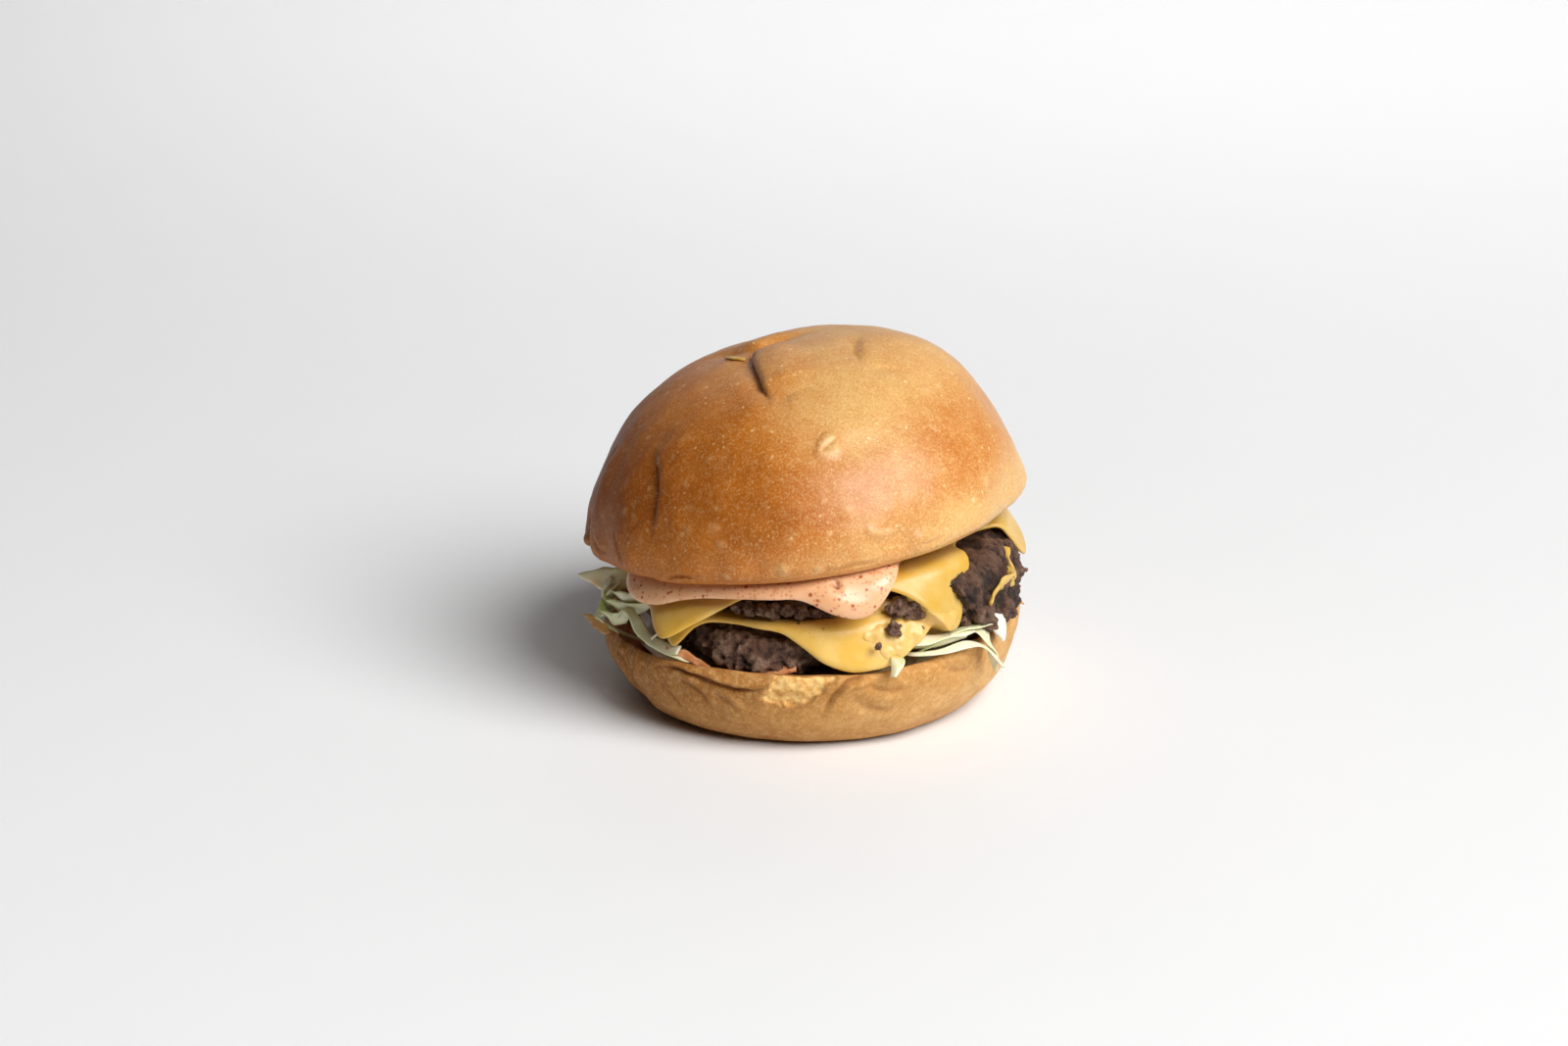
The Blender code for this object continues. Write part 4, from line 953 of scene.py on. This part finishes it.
def leafStrip(width, roll, ruffle, route, tip=0.35, steps=44, across=8, thick=0.55):
    # a strip of leaf with two faces, wavy across and along
    places = smoothRoute(route, steps)
    grid = []
    for i, place in enumerate(places):
        along = i / steps
        ahead = Vector(places[min(i + 1, steps)] - places[max(i - 1, 0)]).normalized()
        turn = Matrix.Rotation(math.radians(roll * min(1, 2.2 * along)), 3, ahead)
        side = turn @ ahead.cross(Vector((0, 0, 1))).normalized()
        up = side.cross(ahead)
        taper = min(1, 0.6 + along) * (1 - (1 - tip) * along**3)
        for j in range(across + 1):
            s = 2 * j / across - 1
            curl = 0.7 * s * s * math.sin(15.6 * along + width + 1.3 * s)
            curl += 0.35 * math.sin(9 * along + 2 * s)
            jag = 1 + 0.10 * math.sin(17 * along + 3 * s + width)
            grid.append(Vector(place) + side * (width * taper * jag * s / 2) + up * (ruffle * curl))
    grid = np.array(grid)
    row = across + 1
    corner = np.array([i * row + j for i in range(steps) for j in range(across)])
    front = np.stack([corner, corner + 1, corner + row + 1, corner + row], -1)
    normals = normalsOf(grid, front.tolist())
    size = len(grid)
    s = np.tile(np.linspace(-1, 1, row), steps + 1)
    half = (thick / 2) * np.sqrt(np.maximum(0.12, 1 - s**4))[:, None]
    points = np.concatenate([grid + normals * half, grid - normals * half])
    faces = front.tolist() + (front[:, ::-1] + size).tolist()
    rim = [*range(row), *range(2 * row - 1, size, row), *range(size - 2, size - row - 1, -1),
           *range(size - 2 * row, 0, -row)]
    faces += [(b, a, a + size, b + size) for a, b in zip(rim, rim[1:] + rim[:1])]
    along = np.repeat(np.linspace(0, 1, steps + 1), row)
    return points, faces, np.tile(s, 2), np.tile(along, 2)


def backShreds():
    outline, lipAt = around(heel["outline"]), around(heel["lip"])
    for i in range(6):
        turn = math.radians(20 + 132 * i / 5)
        swing = math.radians(9 * math.sin(2.7 * i))
        lip, rim = float(lipAt(np.array([turn]))[0]), float(outline(np.array([turn]))[0])
        bed = levelAt("heelCut", 44 * math.cos(turn), 44 * math.sin(turn)) + 1.5
        reach = 3.2 + 1.6 * math.sin(1.9 * i)
        stops = [(39, bed, 0), (44.7, bed + 0.7, 0.3), (rim - 4.4, (bed + lip) / 2 + 1.25, 0.5),
                 (rim - 1.6, lip + 1, 0.7), (rim + 1, lip + 0.6, 0.8), (rim + reach, lip - 0.4 * reach, 1)]
        route = [(radius * math.cos(turn + swing * share), radius * math.sin(turn + swing * share), z)
                 for radius, z, share in stops]
        yield 4.8 + math.sin(5.1 * i), 0.5, 12 * math.sin(i), 0.3 + 0.5 * abs(math.sin(1.7 * i)), 0.6, route


def makeLettuce():
    bed = {"under": "heelCut", "over": "lettuceTop", "bend": 4, "blunt": 8, "rings": 14, "outline": {0: 44}}
    angle, share, points, faces = layerSurface(bed, 180)
    points[:, 2] += 0.5 * smoothField(points, 4) * share**3
    parts = [(points, faces)]
    green, stain = [np.full(len(points), 0.3)], [np.full(len(points), 0.7)]
    for number, (width, tip, roll, tone, ruffle, route) in enumerate([*shreds, *backShreds()]):
        strip, stripFaces, s, along = leafStrip(width, roll, ruffle, route, tip)
        parts.append((strip, stripFaces))
        green.append(np.clip(tone + 0.35 * (np.abs(s) - 0.5) + 0.15 * np.sin(5 * along), 0, 1))
        spot = awayFrom(strip, (-53.4, -10.6, 30))
        stain.append(bump(spot, 2.2) if number == 0 else np.zeros(len(strip)))
    return addPiece("lettuceShreds", *joined(parts), leafFinish, "lettuce_leaf", "lettuce",
                    attributes={"green": np.concatenate(green), "stain": np.concatenate(stain)})


makeLettuce()

onionWedge = {"place": (46.6, -29.4, 26.6), "turn": 57, "lean": -16, "width": 2.9, "thick": 1.1, "length": 4}


def makeOnionPiece():
    angle, t, faces = polarGrid(64, list(np.linspace(0, 1, 34)))
    tip = t * math.pi
    taper = 1 + 0.62 * np.cos(tip)
    x = onionWedge["width"] * taper * np.sin(tip) * np.cos(angle)
    y = onionWedge["thick"] * np.sin(tip) * np.sin(angle) + 0.05 * x**2
    points = np.stack([x, y, onionWedge["length"] * np.cos(tip)], -1)
    points += 0.12 * smoothField(points, 1.6)[:, None]
    turn = Matrix.Rotation(math.radians(onionWedge["turn"]), 3, "Z") @ Matrix.Rotation(
        math.radians(onionWedge["lean"]), 3, "X")
    points = points @ np.array(turn).T + np.array(onionWedge["place"])
    return addPiece("onionWedge", points, faces, onionFinish, "onion_flesh", "onion_piece")


makeOnionPiece()

# Bits of mince stuck in the cheese: centre, radius
crumbs = [
    ((20.6, -44.4, 36.6), 2.3), ((23.2, -43.8, 36), 2), ((25.8, -42.6, 35.6), 2.2),
    ((28.4, -41.2, 34.8), 1.6), ((22, -43.6, 38), 1.6), ((24.8, -42.6, 37.6), 1.8),
    ((19.9, -47.3, 32.8), 2.2), ((16.1, -51.3, 29.9), 1), ((27, -42.6, 31.4), 1), ((37, -34.8, 34.6), 2.2),
    ((35.5, -35.6, 32.6), 1.6), ((39.6, -33, 30.6), 2), ((42.4, -31.6, 29.6), 1.6),
    ((37.6, -34.4, 29.6), 1.6), ((50, -8.4, 32.2), 2.2), ((52, -7, 32.7), 1.6), ((53.4, -6.2, 32.5), 1),
    ((54.3, -5.7, 32.3), 0.6), ((-3, -47, 34), 0.5), ((3, -49, 33.4), 0.45), ((-17.6, -42.4, 36.2), 1.5),
    ((-14.8, -43.4, 36.4), 1.9), ((-11.8, -44.6, 36.6), 1.7), ((-8.8, -44.9, 36.4), 2.1),
    ((-5.4, -45.3, 36.6), 1.8), ((-2.2, -45, 36.2), 2), ((1.2, -44.8, 36), 1.7), ((4.6, -44.2, 35.6), 1.8),
]


def makeCrumbs():
    angle, t, faces = polarGrid(46, list(np.linspace(0, 1, 26)))
    ball = turned(np.sin(t * math.pi), angle, np.cos(t * math.pi))
    parts, shadeByProudness = [], []
    for centre, radius in crumbs:
        place = ball * radius + np.array(centre)
        lump = 0.45 * smoothField(place, 0.9 * radius, 3)
        lump += 0.26 * smoothField(place, 0.9) + 0.12 * smoothField(place, 0.45)
        parts.append((np.array(centre) + ball * (radius * (0.85 + lump))[:, None], faces))
        # the low parts of each crumb are painted darker as shade
        shadeByProudness.append(np.clip(0.72 + 1.3 * lump, 0, 1))
    return addPiece("beefCrumbs", *joined(parts), upperBeefFinish, "beef_upper",
                    attributes={"shadeByProudness": np.concatenate(shadeByProudness)})


makeCrumbs()


def laidOn(carrier, points, inward, lift):
    # each point moved along a direction until it lies on the carrier
    tree, laid = surfaceOf(carrier), []
    for point in points:
        along = Vector(inward) if inward else Vector((-point[0], -point[1], 0)).normalized()
        hit = tree.ray_cast(Vector(point) - along * 25, along)[0]
        laid.append(tuple((hit or Vector(point)) - along * lift))
    return laid


def joinStrips(name, strips, finish, slotName, tones=None):
    # tones: attributes that are the same all over the piece
    points, faces = joined([(points + 0.10 * smoothField(points, 1.5)[:, None], faces)
                            for points, faces, s, along in strips])
    return addPiece(name, points, faces, finish, slotName,
                    attributes={key: np.full(len(points), value) for key, value in (tones or {}).items()})


# Cheese that ran over the hanging flap of the upper patty, and a sliver of it on the crown
dribbles = [
    (3.2, [(46.2, -12.5, 41), (45, -14, 39.4), (43.8, -15.5, 37.6), (42.8, -17.4, 35.6),
     (42.4, -18.6, 34.4)]),
    (3.4, [(43.8, -15.2, 37.4), (41.8, -18.5, 36.6), (39.6, -22, 35.8), (37.4, -25, 34.6),
     (36.4, -27, 33.2)]),
]
sliver = {"width": 1.5, "path": [(-20.8, 1.6), (-18.6, -1.6), (-16, -3.6)]}
strips = [leafStrip(width, 70, 0.5, laidOn(upperBeef, route, None, 0.1), tip=0.7, thick=1)
          for width, route in dribbles]
joinStrips("cheeseDribble", strips, upperCheeseFinish, "cheese_upper")
onCrown = laidOn(crownBun, [(x, y, 92) for x, y in sliver["path"]], (0, 0, -1), 0.4)
strip = leafStrip(sliver["width"], 0, 0.1, onCrown, tip=0.6, steps=16, thick=0.6)
joinStrips("cheeseSliver", [strip], upperCheeseFinish, "cheese_upper")
# Cheese and fat that ran together between the lower slice and the tongue of the upper one: a film over both
film = {
    "path": [(20.5, 31.6), (23.5, 33.4), (27.5, 33.6), (32, 32.6), (37, 33.6)],  # x and height of its middle
    "reach": 4.6, "thick": 0.6, "smooth": 60, "ragged": 1.9, "columns": 96, "rows": 60,
    "along": (-0.35, 0.90, -0.20),  # the way it is laid onto the layers
}


def makeFilm():
    x, z = np.meshgrid(np.linspace(9, 43, film["columns"]), np.linspace(24, 42, film["rows"]))
    along = Vector(film["along"]).normalized()
    start = np.stack([x.ravel() + 0.35 * 40, np.full(x.size, -90), z.ravel() + 0.2 * 40], -1)
    nothing = 90.0  # the depth where a ray meets no layer
    depth = np.full(x.size, nothing)
    for carrier in (lowerSlice, upperSlice, lowerBeef, upperBeef):
        tree = surfaceOf(carrier)
        far = [tree.ray_cast(Vector(place), along)[3] for place in start.tolist()]
        depth = np.minimum(depth, [nothing if value is None else value for value in far])
    depth = depth.reshape(x.shape)
    for _ in range(film["smooth"]):
        wide = np.pad(depth, 1, mode="edge")
        mean = (wide[:-2, 1:-1] + wide[2:, 1:-1] + wide[1:-1, :-2] + wide[1:-1, 2:]) / 4
        depth = np.minimum(depth, mean)
    flat = np.stack([x.ravel(), np.zeros(x.size), z.ravel()], -1)
    near = np.abs(besidePath(x.ravel(), z.ravel(), film["path"])[0])
    cover = film["reach"] + film["ragged"] * smoothField(flat, 3.6, 11) * 2 - near
    lift = np.where(cover < 0, cover * 0.7, film["thick"] * (1 - np.exp(-cover / 2.2)))
    lift = np.maximum(lift, -2.2) + 0.34 * smoothField(flat, 2.8, 12) + 0.16 * smoothField(flat, 1.3, 13)
    front = start + np.array(along) * (depth.ravel() - lift)[:, None]
    front += 0.10 * smoothField(front, 1)[:, None]
    back = front + np.array(along) * 1.6
    index = np.arange(x.size).reshape(x.shape)
    corner = [index[:-1, :-1], index[:-1, 1:], index[1:, 1:], index[1:, :-1]]
    quads = np.stack([part.ravel() for part in corner], -1)
    kept = quads[(lift[quads] > -1.2).any(axis=1) & (np.ptp(depth.ravel()[quads], axis=1) < 3)]
    faces = [tuple(face) for face in kept.tolist()]
    faces += [tuple(i + x.size for i in face[::-1]) for face in faces]
    edges = {edge: True for a, b, c, d in kept.tolist() for edge in ((a, b), (b, c), (c, d), (d, a))}
    faces += [(b, a, a + x.size, b + x.size) for a, b in edges if (b, a) not in edges]
    used = sorted({i for face in faces for i in face})
    renamed = {old: new for new, old in enumerate(used)}
    return addPiece("meltedCheese", np.concatenate([front, back])[used],
                    [tuple(renamed[i] for i in face) for face in faces], meltedFinish, "cheese_lower")


makeFilm()
# Thin sauce that shows between the heel's lip and the lower patty
lowerSauceRuns = [
    (2.6, 64, [(-35, -36, 23.2), (-32.6, -37.7, 23), (-30.2, -38.8, 22.4), (-27.8, -40, 21.4),
     (-24.4, -41.4, 20.2)]),
    (3, 40, [(-19, -45, 19.6), (-15.2, -46.4, 20.2), (-11.3, -47.4, 21.4), (-7.4, -48.2, 22.4),
     (-3.5, -48.4, 23)]),
]
strips = [leafStrip(width, roll, 0.2, route, tip=0.5, thick=1.2) for width, roll, route in lowerSauceRuns]
joinStrips("lowerSauce", strips, thinSauceFinish, "pink_sauce")
# Flakes of crust that stand off the heel: width, points
flakeRuns = [
    (2.8, [(-50.2, -18.2, 20.2), (-51.6, -16.6, 21), (-53.3, -14.8, 21.8), (-54.8, -13, 22.3),
     (-56.4, -11.3, 22.5)]),
    (1.2, [(50.8, -7.6, 24.2), (51.8, -6.6, 23.9), (52.8, -6, 23.5), (53.9, -5.5, 23.1)]),
]
strips = [leafStrip(width, -50, 0.3, route, tip=0.08, thick=0.5) for width, route in flakeRuns]
joinStrips("crustFlakes", strips, heelCrust, "heel_crust", {"bakeAndPaintedLight": 0.8})

studio = {
    "paper": (0.86, 0.86, 0.86), "world": 0.01, "worldColour": (0.97, 0.98, 1.0),
    # each light: where it stands, its size, its power, where it aims
    "key": ((1.62, -1.52, 2.00), 2.2, 126.0, (0, 0, 0.03)),
    "front": ((0.36, -1.52, 1.72), 1.0, 6.5, (0, 0, 0.03)),
    "backPlace": (0.12, 1.02, 1.5), "backPower": 38.0, "backCone": 62,
}


def makeStudio():
    # a sheet of paper that lies under the burger and rises far behind it
    rise = [(-3.0, 0.0), (1.6, 0.0), *[(1.6 + 0.8 * math.sin(a), 0.8 - 0.8 * math.cos(a))
                                        for a in np.linspace(0.1, math.pi / 2, 12)], (2.4, 4.0)]
    points = [(x, y, z) for y, z in rise for x in (-4.0, 4.0)]
    faces = [(2 * i, 2 * i + 1, 2 * i + 3, 2 * i + 2) for i in range(len(rise) - 1)]
    mesh = bpy.data.meshes.new("paperSweep")
    mesh.from_pydata(points, [], faces)
    mesh.shade_smooth()
    paper = Finish("studioPaper", {}, Specular_IOR_Level=0.25)
    tint = paper.blend(paper.cloud(60, 2), studio["paper"], tuple(0.985 * c for c in studio["paper"]))
    mesh.materials.append(paper.finish(tint, paper.cloud(5, 2) * 0.1 + 0.55, paper.cloud(2, 2), 0.01))
    sweep = bpy.data.objects.new("paperSweep", mesh)
    bpy.context.scene.collection.objects.link(sweep)
    world = bpy.data.worlds.new("studioWorld")
    world.use_nodes = True
    background = world.node_tree.nodes["Background"].inputs
    background["Color"].default_value = (*studio["worldColour"], 1)
    background["Strength"].default_value = studio["world"]
    bpy.context.scene.world = world
    for name in ("key", "front"):
        place, size, power, aim = studio[name]
        lamp = bpy.data.lights.new(name, "AREA")
        lamp.shape, lamp.size, lamp.energy = "DISK", size, power
        holder = bpy.data.objects.new(name + "Light", lamp)
        holder.location = place
        holder.rotation_euler = (Vector(aim) - holder.location).to_track_quat("-Z", "Y").to_euler()
        bpy.context.scene.collection.objects.link(holder)
    # a soft pool of light on the paper behind, which doesn't reach the burger
    back = bpy.data.lights.new("back", "SPOT")
    back.energy = studio["backPower"]
    back.spot_size, back.spot_blend, back.shadow_soft_size = math.radians(studio["backCone"]), 1, 0.2
    backLight = bpy.data.objects.new("backLight", back)
    backLight.location = studio["backPlace"]
    bpy.context.scene.collection.objects.link(backLight)
    view = bpy.context.scene.view_settings
    view.view_transform, view.look = "Standard", "None"


# lens and sensor in millimetres, the point it looks at and how far off it stands in metres, degrees down
photoView = {"lens": 85, "sensor": 36, "target": (-0.0064, 0, 0.0427), "distance": 0.930, "down": 20}


def makeCamera():
    lens = bpy.data.cameras.new("photoCamera")
    lens.lens = photoView["lens"]
    lens.sensor_width = photoView["sensor"]
    camera = bpy.data.objects.new("photoCamera", lens)
    down = math.radians(photoView["down"])
    away = Vector((0, -math.cos(down), math.sin(down)))
    camera.location = Vector(photoView["target"]) + photoView["distance"] * away
    camera.rotation_euler = (math.pi / 2 - down, 0, 0)
    bpy.context.scene.collection.objects.link(camera)
    bpy.context.scene.camera = camera


makeStudio()
makeCamera()
print("studio and camera set")
